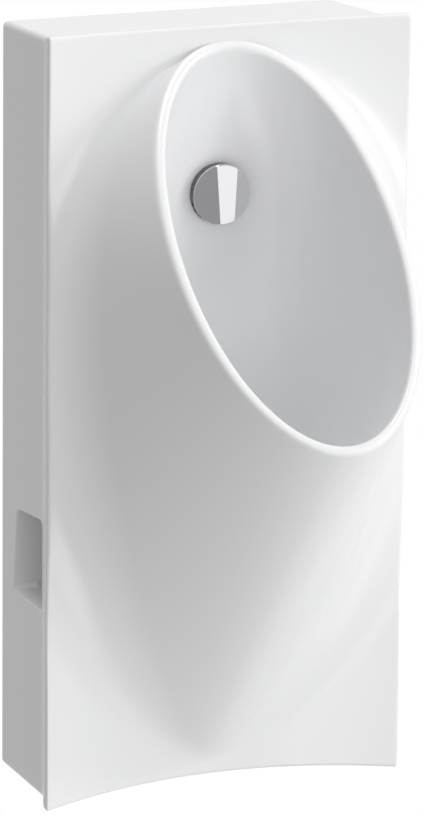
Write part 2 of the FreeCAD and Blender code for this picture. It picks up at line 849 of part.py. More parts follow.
barrel = new_body("spray_barrel")
barrel_bore = size("head_radius") - size("barrel_wall")
shank_fit = size("shank_radius") + size("fit_clearance")
turn_profile(barrel, "cup", [
    (shank_fit, barrel_low),
    (size("head_radius"), barrel_low),
    (size("head_radius"), barrel_top),
    (barrel_bore, barrel_top),
    (barrel_bore, floor_top),
    (size("hub_radius"), floor_top),
    (size("hub_radius"), floor_top + size("slot_length")),
    (shank_fit, floor_top + size("slot_length")),
])
slot_sketch = sketch_on(barrel, "XY_Plane", "slot_outline", floor_top + size("fit_clearance"))
half_slot = size("slot_width") * 0.5
add_outline(slot_sketch, [
    (-half_slot, -(size("head_radius") + 2)),
    (half_slot, -(size("head_radius") + 2)),
    (half_slot, -(barrel_bore - 2)),
    (-half_slot, -(barrel_bore - 2)),
])
first_angle = -SLOT_PITCH * (SLOT_COUNT - 1) / 2
slot_turn = Rotation(Vector(0, 0, 1), first_angle)
slot_sketch.AttachmentOffset = Placement(slot_sketch.AttachmentOffset.Base, slot_turn)
slot = cut_profile(barrel, "slot", slot_sketch, size("slot_length"), reverse=True)
slots = barrel.newObject("PartDesign::PolarPattern", "slots")
slots.Originals = [slot]
slots.Axis = (slot_sketch, ["N_Axis"])
slots.Angle = SLOT_PITCH * (SLOT_COUNT - 1)
slots.Occurrences = SLOT_COUNT
barrel.Tip = slots
doc.recompute()
screw_height = barrel_top - size("cap_spigot") * 0.5
screw_sketch = sketch_on(barrel, "XZ_Plane", "screw_hole_outline")
add_circle(screw_sketch, zero, screw_height, size("cap_screw_radius") + size("fit_clearance") * 0.5)
cut_profile(barrel, "screw_hole", screw_sketch, size("head_radius") + 2, reverse=True)

cap = new_body("spray_cap")
spigot_outer = barrel_bore - size("fit_clearance")
spigot_inner = spigot_outer - size("cap_spigot_wall")
spigot_low = barrel_top - size("cap_spigot")
turn_profile(cap, "lid", [
    (zero, barrel_top),
    (spigot_inner, barrel_top),
    (spigot_inner, spigot_low),
    (spigot_outer, spigot_low),
    (spigot_outer, barrel_top),
    (size("head_radius"), barrel_top),
    (size("head_radius"), cap_top - size("cap_bevel")),
    (size("head_radius") - size("cap_bevel"), cap_top),
    (zero, cap_top),
])
doc.recompute()
ridges = ((-1, size("left_ridge"), FACET_TURN[0]), (1, size("right_ridge"), FACET_TURN[1]))
for side, ridge, turn in ridges:
    name = "left_facet" if side < 0 else "right_facet"
    facet_sketch = sketch_on(cap, "XZ_Plane", name + "_outline", turn=turn)
    far = size("head_radius") + 4
    add_outline(facet_sketch, [
        (ridge * side, cap_top),
        (far * side, cap_top - size("facet_fall")),
        (far * side, cap_top + 1),
        (ridge * side, cap_top + 1),
    ])
    cut_profile(cap, name, facet_sketch, size("head_radius") * 4, both_ways=True)
cap_hole_sketch = sketch_on(cap, "XZ_Plane", "screw_hole_outline")
add_circle(cap_hole_sketch, zero, screw_height, size("cap_screw_radius") + size("fit_clearance") * 0.5)
cut_profile(cap, "screw_hole", cap_hole_sketch, size("head_radius") + 2, reverse=True)

screw = new_body("cap_screw")
screw_start = size("head_radius") - 0.4 - size("cap_screw_length")
screw_outline = sketch_on(screw, "XZ_Plane", "shank_outline", screw_start)
add_circle(screw_outline, zero, screw_height, size("cap_screw_radius"))
shank = screw.newObject("PartDesign::Pad", "shank")
shank.Profile = screw_outline
bind(shank, "Length", size("cap_screw_length"))
screw_outline.Visibility = False

# ------------------------------------------------------------ the water inlet behind it

tube = new_body("inlet_tube")
shoulder_radius = size("tube_radius") + size("tube_shoulder")
collar_high = size("shank_end") - size("tube_washer_thickness")
collar_low = collar_high - size("tube_collar")
seat_radius = size("shank_radius") - size("fit_clearance") * 3
turn_profile(tube, "tube", [
    (size("tube_bore"), zero),
    (size("tube_radius"), zero),
    (size("tube_radius"), size("tube_tail")),
    (shoulder_radius, size("tube_tail")),
    (shoulder_radius, collar_low),
    (seat_radius, collar_low),
    (seat_radius, collar_high),
    (size("tube_bore"), collar_high),
])

washer = new_body("coupling_washer")
turn_profile(washer, "ring", ring_corners(size("tube_bore"), seat_radius, collar_high, size("shank_end")))

inlet = new_body("inlet_shank")
shank_top = floor_top + size("slot_length") - 0.5
regulator_low = shank_top - size("regulator_length") - 1
pocket_radius = size("regulator_radius") + size("fit_clearance")
turn_profile(inlet, "tube", [
    (size("shank_bore"), size("shank_end")),
    (size("shank_radius"), size("shank_end")),
    (size("shank_radius"), shank_top),
    (pocket_radius, shank_top),
    (pocket_radius, regulator_low),
    (size("shank_bore"), regulator_low),
])

regulator = new_body("flow_regulator")
regulator_high = regulator_low + size("regulator_length")
turn_profile(regulator, "plug", ring_corners(
    size("regulator_bore"), size("regulator_radius"), regulator_low, regulator_high))

boss_back = size("china_face") - size("boss_thickness")
washer_back = boss_back - size("back_washer_thickness")
ring_back = washer_back - size("friction_ring_thickness")
back_washer = new_body("back_washer")
turn_profile(back_washer, "ring", ring_corners(shank_fit, size("back_washer_radius"), washer_back, boss_back))
friction = new_body("friction_ring")
turn_profile(friction, "ring", ring_corners(shank_fit, size("friction_ring_radius"), ring_back, washer_back))
for piece in (gasket, barrel, cap, screw, tube, washer, inlet, regulator, back_washer, friction):
    place_on_head(piece)

nut_low = ring_back - size("shank_nut_length")
shank_nut = hexagon_nut("shank_nut", size("shank_nut_flats"), nut_low, ring_back, [
    (shank_fit, nut_low - 1, ring_back + 1)])
coupling_low = collar_low - size("coupling_floor")
coupling_high = coupling_low + size("coupling_length")
coupling_nut = hexagon_nut("coupling_nut", size("coupling_flats"), coupling_low, coupling_high, [
    (shoulder_radius + size("fit_clearance"), coupling_low - 1, coupling_high + 1),
    (shank_fit, collar_low, coupling_high + 1),
])

# ------------------------------------------------------------------- drain and outlet


def place_on_drain(obj):
    bind(obj, "Placement.Base.y", -size("drain_depth"))
    bind(obj, "Placement.Base.z", -size("bolt_height"))
    return obj


seat_height = size("bowl_floor") - size("seat_depth")
under_strainer = seat_height + size("strainer_gasket_thickness")
over_strainer = under_strainer + size("strainer_thickness")
skirt_outer = size("trap_bore") - size("strainer_clearance")
strainer_gasket = new_body("strainer_gasket")
turn_profile(strainer_gasket, "ring", ring_corners(
    size("trap_bore") + size("strainer_clearance"), size("strainer_radius"), seat_height, under_strainer))
place_on_drain(strainer_gasket)

strainer = new_body("strainer")
turn_profile(strainer, "grate", [
    (zero, under_strainer + size("strainer_crown")),
    (size("strainer_crown_radius"), under_strainer + size("strainer_crown")),
    (skirt_outer - size("strainer_wall"), under_strainer + size("strainer_step")),
    (skirt_outer - size("strainer_wall"), under_strainer - size("strainer_skirt")),
    (skirt_outer, under_strainer - size("strainer_skirt")),
    (skirt_outer, under_strainer),
    (size("strainer_radius"), under_strainer),
    (size("strainer_radius"), over_strainer),
    (skirt_outer, over_strainer + size("strainer_step")),
    (size("strainer_crown_radius"), over_strainer + size("strainer_crown")),
    (zero, over_strainer + size("strainer_crown")),
])
doc.recompute()
for index, (distance, count) in enumerate(STRAINER_RINGS):
    hole_sketch = sketch_on(strainer, "XY_Plane", "hole_outline_%d" % index, under_strainer - 3)
    add_circle(hole_sketch, Size(distance, str(distance)), zero, size("strainer_hole"))
    hole = cut_profile(strainer, "hole_%d" % index, hole_sketch, size("strainer_crown") * 4, reverse=True)
    if count == 1:
        continue
    holes = strainer.newObject("PartDesign::PolarPattern", "holes_%d" % index)
    holes.Originals = [hole]
    holes.Axis = (hole_sketch, ["N_Axis"])
    holes.Angle = 360
    holes.Occurrences = count
    strainer.Tip = holes
    doc.recompute()
place_on_drain(strainer)


def place_on_outlet(obj):
    obj.Placement = Placement(Vector(), HEAD_AXIS)
    bind(obj, "Placement.Base.z", size("outlet_height") - size("bolt_height"))
    return obj


hub_end = size("flange_hub_length")
outlet_gasket = new_body("outlet_gasket")
turn_profile(outlet_gasket, "ring", ring_corners(
    size("trap_bore") + 4, size("horn_radius"), hub_end, hub_end + size("outlet_gasket_thickness")))
place_on_outlet(outlet_gasket)

flange = new_body("outlet_flange")
turn_profile(flange, "flange", [
    (size("pipe_radius"), zero),
    (size("flange_radius"), zero),
    (size("flange_radius"), size("flange_plate")),
    (size("horn_radius"), size("flange_plate")),
    (size("horn_radius"), hub_end),
    (size("pipe_radius"), hub_end),
])
doc.recompute()
for side in (-1, 1):
    name = "left_screw_hole" if side < 0 else "right_screw_hole"
    hole_sketch = sketch_on(flange, "XY_Plane", name + "_outline")
    add_circle(hole_sketch, size("flange_screw_offset") * side, zero, size("flange_screw_radius"))
    cut_profile(flange, name, hole_sketch, size("flange_plate") + 1, reverse=True)
place_on_outlet(flange)

# --------------------------------------------------------- wall hangers and bolt bushes

hook_depth = size("ledge_start") + size("ledge_thickness") + size("hanger_gap") + size("hanger_steel")
for side in (-1, 1):
    hanger = new_body("hanger_left" if side < 0 else "hanger_right")
    profile = sketch_on(hanger, "YZ_Plane", "hook_outline")
    steel = size("hanger_steel")
    ledge_low = size("ledge_bottom")
    add_outline(profile, [
        (zero, size("hanger_bottom")),
        (zero, ledge_low),
        (-(hook_depth - steel), ledge_low),
        (-(hook_depth - steel), ledge_low + size("hanger_hook")),
        (-hook_depth, ledge_low + size("hanger_hook")),
        (-hook_depth, ledge_low - steel),
        (-steel, ledge_low - steel),
        (-steel, size("hanger_bottom")),
    ])
    strip = hanger.newObject("PartDesign::Pad", "bent_strip")
    strip.Profile = profile
    strip.Midplane = True
    bind(strip, "Length", size("hanger_width"))
    profile.Visibility = False
    doc.recompute()
    hole_sketch = sketch_on(hanger, "XZ_Plane", "screw_holes_outline")
    half_spacing = size("hanger_hole_spacing") * 0.5
    for way in (-1, 1):
        add_circle(hole_sketch, half_spacing * way, size("hanger_hole_height"), size("hanger_hole_radius"))
    cut_profile(hanger, "screw_holes", hole_sketch, steel * 4, both_ways=True)
    bind(hanger, "Placement.Base.x", size("hanger_offset") * side)
    bind(hanger, "Placement.Base.z", -size("bolt_height"))

bush_parts = []
sleeve_outer = size("bolt_hole") - size("fit_clearance") * 3
flange_low = size("pocket_back")
flange_high = flange_low + size("bush_flange_thickness")
for side in (-1, 1):
    bush = new_body("left_bush" if side < 0 else "right_bush")
    turn_profile(bush, "bush", [
        (size("bush_bore"), zero),
        (sleeve_outer, zero),
        (sleeve_outer, flange_low),
        (size("bush_flange"), flange_low),
        (size("bush_flange"), flange_high),
        (size("bush_bore"), flange_high),
    ])
    bush.Placement = Placement(Vector(), HEAD_AXIS)
    bind(bush, "Placement.Base.x", size("bolt_offset") * side)
    bush_parts.append(bush)
bushes = doc.addObject("Part::Compound", "fixing_bushes")
bushes.Label = "fixing_bushes"
bushes.Links = bush_parts

# ------------------------------------------------------------------- check and write

NODES = (
    "china_body",
    "china_bowl",
    "china_trap",
    "china_pocket_left",
    "china_pocket_right",
    "spray_cap",
    "cap_screw",
    "spray_barrel",
    "flow_regulator",
    "front_gasket",
    "inlet_shank",
    "back_washer",
    "friction_ring",
    "shank_nut",
    "coupling_nut",
    "coupling_washer",
    "inlet_tube",
    "strainer",
    "strainer_gasket",
    "outlet_gasket",
    "outlet_flange",
    "hanger_left",
    "hanger_right",
    "fixing_bushes",
)

doc.recompute()
for obj in doc.Objects:
    if "Invalid" in obj.State or "Error" in obj.State:
        raise ValueError("%s failed: %s" % (obj.Label, obj.State))
os.makedirs("parts", exist_ok=True)
for label in NODES:
    shape = doc.getObjectsByLabel(label)[0].Shape
    if shape.isNull() or not shape.isValid():
        raise ValueError(label + " has no valid shape")
    shape.exportStep("parts/%s.step" % label)
    print(label, len(shape.Solids), "solids", round(shape.Volume / 1000, 2), "cubic centimetres")
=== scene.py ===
# %% [markdown]
# # A wall-hung urinal of glazed china
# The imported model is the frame. It says where every piece is, what each one is made of
# and how the strainer moves, so this script places nothing. It gives each piece its
# finish, and models the china again as one smooth mesh, because a glossy glaze shows
# every crease that plain strips of surface would leave.

# %% Load the frame
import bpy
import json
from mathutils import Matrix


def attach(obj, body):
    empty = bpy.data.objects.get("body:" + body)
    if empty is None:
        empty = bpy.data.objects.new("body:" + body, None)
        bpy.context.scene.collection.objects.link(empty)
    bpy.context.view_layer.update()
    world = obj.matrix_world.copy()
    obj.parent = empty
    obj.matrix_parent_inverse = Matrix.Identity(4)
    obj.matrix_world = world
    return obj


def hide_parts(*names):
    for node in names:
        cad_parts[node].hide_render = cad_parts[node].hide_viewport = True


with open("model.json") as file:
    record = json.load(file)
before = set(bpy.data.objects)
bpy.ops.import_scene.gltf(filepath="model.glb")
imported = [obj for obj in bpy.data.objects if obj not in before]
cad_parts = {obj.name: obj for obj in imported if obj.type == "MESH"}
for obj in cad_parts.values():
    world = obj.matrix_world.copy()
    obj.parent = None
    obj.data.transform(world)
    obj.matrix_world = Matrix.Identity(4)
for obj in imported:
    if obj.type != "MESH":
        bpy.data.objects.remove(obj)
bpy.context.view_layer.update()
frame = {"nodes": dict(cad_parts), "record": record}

import json
import math
import bmesh
import bpy
import numpy as np
from mathutils import Matrix, Vector

print("nodes:", ", ".join(sorted(frame["nodes"])))

# %% [markdown]
# ## Units
# Lengths are in millimetres and taken as a maker would take them: depths from the wall
# face, heights from the lowest point of the china. The frame is in metres, with its
# origin midway between the wall bolts. One helper turns rows of points into the frame's,
# so no other cell has to think of units.

# %% Overall sizes and the change of units
MM = 0.001
BOLT_HEIGHT = 206.0
HEIGHT, LIP_WIDTH, LIP_DEPTH = 670.0, 333.0, 130.5


def metres(points):
    """Points of (x, y, height) in millimetres, as the frame's metres."""
    return (np.asarray(points, float) - (0.0, 0.0, BOLT_HEIGHT)) * MM


print("lowest and highest point:", metres([(0, 0, 0), (0, 0, HEIGHT)])[:, 2], "m")

# %% [markdown]
# ## The front panel
# The real front is a hollow panel. It bends back towards the wall across its width, more
# at the foot than at the top, and dips once more beside the bowl. A grid pushed about by
# hand could follow it. A formula for its depth is smoother, and it answers for any point,
# which the blend and the lip both need.

# %% The panel as a formula
RECESS_TOP, RECESS_BOTTOM = 10.3, 29.7
WAIST_DIP, WAIST_HEIGHT, WAIST_RISE, WAIST_FALL = 21.7, 396.0, 108.0, 155.0


def panel_depth(x, height, inset=0.0):
    """Depth of the hollow front panel, which dips back towards the wall beside the bowl."""
    recess = RECESS_BOTTOM + (RECESS_TOP - RECESS_BOTTOM) * height / HEIGHT
    across = x / (LIP_WIDTH / 2)
    reach = np.where(height > WAIST_HEIGHT, WAIST_RISE, WAIST_FALL)
    dip = WAIST_DIP * np.exp(-((height - WAIST_HEIGHT) / reach) ** 2)
    return LIP_DEPTH - recess * (1 - across ** 2) - dip - inset


def on_panel(x, height, inset=0.0):
    return np.stack([x, -panel_depth(x, height, inset), height], -1)


middle_heights = np.array([0.0, WAIST_HEIGHT, HEIGHT])
print("panel depth in the middle, foot to top:", np.round(panel_depth(0.0, middle_heights), 1))

# %% [markdown]
# ## The fold
# The funnel's sides would meet the panel along a fold, and a soft blend rounds that fold
# off. Seen from the front the fold is a squarish oval above and narrows to a tip at the
# foot. A superellipse gives both with a few numbers. The blend is long at the sides and
# short at the top and the tip, so its length is a smooth wave through five values.

# %% The fold line and the length of its blend
FOLD_HALF_WIDTH, FOLD_HEIGHT, FOLD_TOP, FOLD_TIP = 156.0, 429.0, 642.6, 24.0
FOLD_TAPER, FOLD_TAPER_POWER, FOLD_SQUARENESS = 0.29, 4.1, 2.18
TIP_INSET = 1.6
BLEND_LENGTHS = (7.0, 50.9, 70.8, 26.6, 10.9)


def fold_line(angle, inset=0.0):
    """The line on the panel where the bowl's sides would meet it without a blend."""
    across, up = np.cos(angle), np.sin(angle)
    power = np.where(up >= 0, 2 / FOLD_SQUARENESS, 1.0)
    taper = np.where(up >= 0, 1.0, 1 - FOLD_TAPER * np.abs(up) ** FOLD_TAPER_POWER)
    x = (FOLD_HALF_WIDTH - inset) * np.sign(across) * np.abs(across) ** power * taper
    rise = np.where(up >= 0, FOLD_TOP - inset - FOLD_HEIGHT, FOLD_HEIGHT - FOLD_TIP - TIP_INSET * inset)
    return on_panel(x, FOLD_HEIGHT + rise * np.sign(up) * np.abs(up) ** power, inset)


def blend_length(angle):
    """How far the blend runs either side of the fold: a cosine series through five values."""
    last = len(BLEND_LENGTHS) - 1
    turn = np.arcsin(np.clip(np.sin(angle), -1, 1)) + math.pi / 2
    total = 0.0
    for order in range(last + 1):
        wave = 0.0
        for index, value in enumerate(BLEND_LENGTHS):
            share = 0.5 if index in (0, last) else 1.0
            wave += share * value * math.cos(math.pi * index * order / last)
        share = 1.0 if order in (0, last) else 2.0
        total = total + share * wave / last * np.cos(order * turn)
    return total


print("blend lengths:", np.round(blend_length(np.linspace(-math.pi / 2, math.pi / 2, 5)), 1))

# %% [markdown]
# ## The rim
# The rim is a flat oval band that leans forward. It is an ellipse in a tilted plane, so
# one vector that runs up the plane and one that leaves it say everything.

# %% The tilted oval
RIM_DEPTH, RIM_HEIGHT, RIM_TILT = 246.6, 507.2, math.radians(40.5)
RIM_HALF_WIDTH, RIM_HALF_LENGTH, RIM_BAND, RIM_ROUND = 106.5, 197.3, 9.4, 4.4
RIM_UP = np.array([0.0, math.sin(RIM_TILT), math.cos(RIM_TILT)])
RIM_OUT = np.array([0.0, -math.cos(RIM_TILT), math.sin(RIM_TILT)])
RIM_CENTRE = np.array([0.0, -RIM_DEPTH, RIM_HEIGHT])


def rim_line(angle, inset=0.0, lift=0.0):
    wide = np.cos(angle)[:, None] * [RIM_HALF_WIDTH - inset, 0.0, 0.0]
    long = np.sin(angle)[:, None] * RIM_UP * (RIM_HALF_LENGTH - inset)
    return RIM_CENTRE + wide + long + RIM_OUT * lift


print("rim:", 2 * RIM_HALF_WIDTH, "by", 2 * RIM_HALF_LENGTH, "mm")

# %% [markdown]
# ## One profile of the front skin
# Cut the skin from the panel to the rim and there are three stretches: panel, blend and
# straight side. The blend could be a bevel, but its width changes all the way round. A
# quadratic curve that leaves the panel, aims at the fold and ends on the side is just
# what a rounded corner in a plaster mould looks like.

# %% Where a profile starts, turns and ends
BLEND_REACH = 2.0
FOLD_STEP = 0.01


def directions(vectors):
    return vectors / np.linalg.norm(vectors, axis=-1, keepdims=True)


def blend_curve(first, middle, last, count):
    """Rows along a quadratic curve from first, towards middle, to last."""
    rows = []
    for t in np.linspace(0, 1, count):
        rows.append(first * (1 - t) ** 2 + middle * 2 * t * (1 - t) + last * t ** 2)
    return rows


def skin_controls(angle, inset=0.0):
    """Start, fold, end and edge of every station's profile."""
    fold = fold_line(angle, inset)
    along = fold_line(angle + FOLD_STEP, inset) - fold_line(angle - FOLD_STEP, inset)
    away = directions(np.stack([along[:, 2], 0 * along[:, 0], -along[:, 0]], -1))
    length = blend_length(angle)
    start = fold + away * length[:, None]
    start = on_panel(start[:, 0], start[:, 2], inset)
    edge = rim_line(angle, inset, -inset)
    run = np.linalg.norm(edge - fold, axis=1)
    pull = BLEND_REACH * length
    end = fold + directions(edge - fold) * (run * pull / (pull + run))[:, None]
    return start, fold, end, edge


foot_profile = [spots[0] for spots in skin_controls(np.array([-math.pi / 2]))]
print("profile at the tip, (x, y, height):", *(np.round(spot, 1) for spot in foot_profile))

# %% [markdown]
# ## Meshes from rings
# Every closed form here is a stack of rings with the same number of points and a flat
# face at each end. Spin or Skin could make some of them, but rings fit them all. A ring
# that closed to a point would pinch the shading, so the end faces lie on flat places.

# %% Helpers for ring meshes
POST_SEGMENTS = 96


def outward(mesh):
    """Turn the whole shell over if its volume comes out negative."""
    shell = bmesh.new()
    shell.from_mesh(mesh)
    if shell.calc_volume(signed=True) < 0:
        bmesh.ops.reverse_faces(shell, faces=shell.faces)
    shell.to_mesh(mesh)
    shell.free()
    return mesh


def ring_mesh(name, rows):
    """A closed mesh from rings of points, end faces included, with its faces outwards."""
    rows = [np.asarray(row) for row in rows]
    count = len(rows[0])
    points = metres(np.concatenate(rows))
    faces = []
    for level in range(len(rows) - 1):
        low, high = level * count, (level + 1) * count
        for index in range(count):
            after = (index + 1) % count
            faces.append((low + index, low + after, high + after, high + index))
    faces.append(tuple(reversed(range(count))))
    faces.append(tuple(range((len(rows) - 1) * count, len(rows) * count)))
    mesh = bpy.data.meshes.new(name)
    mesh.from_pydata(points.tolist(), [], faces)
    return outward(mesh)


def box_mesh(name, wide, deep, tall):
    """A box between two values of x, two depths and two heights."""
    def ring(depth):
        corners = ((wide[0], tall[0]), (wide[1], tall[0]), (wide[1], tall[1]), (wide[0], tall[1]))
        return np.array([(x, -depth, z) for x, z in corners])
    return ring_mesh(name, [ring(deep[0]), ring(deep[1])])


def post_mesh(name, radius, x, height, deep):
    """A round bar square to the wall between two depths."""
    turn = np.linspace(0, 2 * math.pi, POST_SEGMENTS, endpoint=False)
    def ring(depth):
        return np.stack([x + radius * np.cos(turn), -depth + 0 * turn, height + radius * np.sin(turn)], -1)
    return ring_mesh(name, [ring(deep[0]), ring(deep[1])])


sample = post_mesh("sample", 1, 0, 0, (0, 1))
print("a post has", len(sample.polygons), "faces")
bpy.data.meshes.remove(sample)

# %% [markdown]
# ## Cutting and joining
# Boolean modifiers build the casting from closed forms, as cores and moulds build the
# real one. The manifold solver is quick and exact on closed meshes. Each change is baked
# at once, so the finished piece carries no modifier and nothing depends on the tools.

# %% Helpers for cutting and joining
def add_object(name, mesh):
    piece = bpy.data.objects.new(name, mesh)
    bpy.context.scene.collection.objects.link(piece)
    return piece


def combine(piece, meshes, operation):
    """Cut meshes from a piece, or keep what they share with it, and bake the result."""
    for mesh in meshes:
        tool = add_object("tool", mesh)
        change = piece.modifiers.new("change", "BOOLEAN")
        change.operation = operation
        change.solver = "MANIFOLD"
        change.object = tool
        bpy.context.view_layer.update()
        depsgraph = bpy.context.evaluated_depsgraph_get()
        result = bpy.data.meshes.new_from_object(piece.evaluated_get(depsgraph))
        piece.modifiers.clear()
        if not result.polygons:
            raise RuntimeError("nothing is left of " + piece.name)
        old = piece.data
        piece.data = result
        bpy.data.meshes.remove(old)
        bpy.data.objects.remove(tool)
    return piece


# %% [markdown]
# ## The casing's sides
# The casing is a rounded box with a little draft, so that it leaves its mould. Near the
# front its sides swell in an ogee to the wider lip, and its corners sharpen. The bottom
# edge of the lip is a shallow arch. Stations round the outline are counted in corners,
# each with its arc and then the straight side after it, and a formula places any station
# at any depth.

# %% The casing's rounded outline
BACK_HALF, BACK_LOW, BACK_HIGH = 154.75, 4.0, 662.0
SIDE_DRAFT, LOW_DRAFT, TOP_DRAFT = 2.8, 2.0, 3.0
FLARE_START, FLARE_END = 96.0, 126.0
OUTLINE_CORNER, LIP_CORNER = 5.0, 2.4
ARCH_RISE = 5.8
CORNER_STATIONS = 5
SIDE_STATIONS = (96, 160, 96, 160)
CORNER_SHARE = 0.024


def station_places():
    """Positions round the outline: each corner's arc, then the straight side after it."""
    places = []
    for side, count in enumerate(SIDE_STATIONS):
        places += list(side + CORNER_SHARE * np.arange(CORNER_STATIONS) / CORNER_STATIONS)
        places += list(side + CORNER_SHARE + (1 - CORNER_SHARE) * np.arange(count) / count)
    return np.array(places)


def rounded_outline(places, half, low, high, corner):
    """Points (x, height) of a rounded rectangle at positions that count its corners."""
    side = np.floor(places).astype(int) % 4
    share = places - np.floor(places)
    across = np.array([1, -1, -1, 1])
    upward = np.array([1, 1, -1, -1])
    inner, reach = half - corner, (high - low) / 2 - corner
    middle = (high + low) / 2
    def pivot(index):
        return np.stack([across[index] * inner, middle + upward[index] * reach], -1)
    turn = side * math.pi / 2 + np.clip(share / CORNER_SHARE, 0, 1) * math.pi / 2
    along = np.clip((share - CORNER_SHARE) / (1 - CORNER_SHARE), 0, 1)[:, None]
    base = pivot(side) * (1 - along) + pivot((side + 1) % 4) * along
    return base + np.asarray(corner)[..., None] * np.stack([np.cos(turn), np.sin(turn)], -1)


def casing_sizes(depth):
    """Half width, bottom and top of the casing at given depths."""
    draft = np.clip(depth / FLARE_START, 0, 1)
    share = np.clip((depth - FLARE_START) / (FLARE_END - FLARE_START), 0, 1)
    flare = share * share * (3 - 2 * share)
    half = BACK_HALF + SIDE_DRAFT * draft
    low = BACK_LOW - LOW_DRAFT * draft
    high = BACK_HIGH + TOP_DRAFT * draft
    return half + (LIP_WIDTH / 2 - half) * flare, low * (1 - flare), high + (HEIGHT - high) * flare


def casing_corner(depth):
    """Radius of the casing's corners, which sharpen through the flare."""
    share = np.clip((depth - FLARE_START) / (FLARE_END - FLARE_START), 0, 1)
    return OUTLINE_CORNER + (LIP_CORNER - OUTLINE_CORNER) * share


def arch_height(x):
    """Height of the bottom edge's shallow arch across the casing."""
    half = LIP_WIDTH / 2
    radius = (half * half + ARCH_RISE * ARCH_RISE) / (2 * ARCH_RISE)
    return ARCH_RISE - radius + np.sqrt(np.maximum(radius ** 2 - x ** 2, 0))


def casing_points(places, depths):
    flat = rounded_outline(places, *casing_sizes(depths), casing_corner(depths))
    lifted = np.maximum(flat[:, 1], arch_height(flat[:, 0]))
    return np.stack([flat[:, 0], -depths, lifted], -1)


print("stations round the casing:", len(station_places()))

# %% [markdown]
# ## Where the skin meets the lip
# The skin's profiles spread out from the rim like spokes, and the lip is where each one
# leaves the casing's outline. Cutting one surface with the other would leave ragged
# triangles just where the glaze catches the light. So every spoke is followed until it
# comes inside for good, and the mesh starts there.

# %% Profiles as rows of points
PANEL_ROWS, BLEND_ROWS, SIDE_ROWS = 150, 50, 50
FAR_HALF_WIDTH, FAR_HALF_HEIGHT = 360.0, 620.0
PANEL_CROWDING = 1.5


def skin_levels(angle, inset=0.0):
    """Every station's profile, row by row, from far outside to just short of the rim."""
    start, fold, end, edge = skin_controls(angle, inset)
    far_height = HEIGHT / 2 + FAR_HALF_HEIGHT * np.sin(angle)
    far = np.stack([FAR_HALF_WIDTH * np.cos(angle), 0 * angle, far_height], -1)
    levels = []
    for t in np.linspace(1, 0, PANEL_ROWS) ** PANEL_CROWDING:
        spot = start + (far - start) * t
        levels.append(on_panel(spot[:, 0], spot[:, 2], inset))
    levels += blend_curve(start, fold, end, BLEND_ROWS)[1:]
    shoulder = edge + directions(fold - edge) * RIM_ROUND
    levels += [end + (shoulder - end) * t for t in np.linspace(0, 1, SIDE_ROWS)[1:]]
    return np.array(levels), edge


def inside_casing(levels):
    """How far inside the casing's outline points are, negative where they are outside."""
    x, height = levels[..., 0], levels[..., 2]
    half, low, high = casing_sizes(-levels[..., 1])
    corner = casing_corner(-levels[..., 1])
    dx = np.abs(x) - (half - corner)
    dz = np.abs(height - (high + low) / 2) - ((high - low) / 2 - corner)
    outside = np.hypot(np.maximum(dx, 0), np.maximum(dz, 0))
    rounded = corner - outside - np.minimum(np.maximum(dx, dz), 0)
    return np.minimum(rounded, height - arch_height(x))


def arc_lengths(levels):
    steps = np.linalg.norm(np.diff(levels, axis=0), axis=2)
    return np.concatenate([np.zeros((1, levels.shape[1])), np.cumsum(steps, axis=0)])


def lip_lengths(levels):
    """Arc length at which each profile comes inside the casing for good."""
    inside = inside_casing(levels)
    reach = arc_lengths(levels)
    last = levels.shape[0] - 1 - np.argmax(inside[::-1] < 0, axis=0)
    column = np.arange(levels.shape[1])
    before, after = inside[last, column], inside[last + 1, column]
    share = before / (before - after)
    return reach[last, column] * (1 - share) + reach[last + 1, column] * share


def along_profiles(levels, lengths):
    """The point of each profile at its own arc length."""
    reach = arc_lengths(levels)
    spots = np.empty((levels.shape[1], 3))
    for station in range(levels.shape[1]):
        for axis in range(3):
            spots[station, axis] = np.interp(lengths[station], reach[:, station], levels[:, station, axis])
    return spots


spokes = skin_levels(np.radians([-90.0, 0.0, 90.0]))[0]
print("lip depth below, beside and above:", np.round(-along_profiles(spokes, lip_lengths(spokes))[:, 1], 1))

# %% [markdown]
# ## Matching spokes to stations
# The stations are spaced for the casing, closer in its corners, but the spokes are
# counted by their angle round the rim. A dense set of spokes is followed to the lip, and
# the angle that ends at each station is read off between them. Each ring of the mesh then
# runs through casing, lip and skin without a seam.

# %% The spoke that ends at each station
FIRST_ANGLE, ANGLE_SAMPLES, PLACE_SAMPLES = -0.75, 1441, 16001


def station_angles(places):
    """The profile angle whose lip crossing lies at each position on the outline."""
    angle = np.linspace(FIRST_ANGLE, FIRST_ANGLE + 2 * math.pi, ANGLE_SAMPLES)
    levels = skin_levels(angle)[0]
    crossing = along_profiles(levels, lip_lengths(levels))
    dense = np.linspace(0, 4, PLACE_SAMPLES)[:-1]
    spots = rounded_outline(dense, *casing_sizes(np.array(FLARE_END)), LIP_CORNER)
    found = []
    for x, y, height in crossing:
        found.append(dense[np.argmin((spots[:, 0] - x) ** 2 + (spots[:, 1] - height) ** 2)])
    turns = np.unwrap(np.array(found) * math.pi / 2) / (math.pi / 2)
    turns = np.maximum.accumulate(turns)
    wanted = turns[0] + np.mod(places - turns[0], 4)
    return np.interp(wanted, turns, angle)


print("spokes that end in the corners:", np.round(np.degrees(station_angles(np.arange(4.0)))), "degrees")

# %% [markdown]
# ## The bowl inside
# The bowl falls from the rim to a small round floor. Its back wall is flat and upright,
# to carry the spray head, and its front follows the funnel's nose. Each control ring
# hangs between a back point and a front point, and a cubic spline runs down through them,
# as a caster's template would be drawn. Each stage gives the fall below the spray head,
# the share of the way down the nose, how much narrower than the mouth the bowl is, and
# how flat its back is.

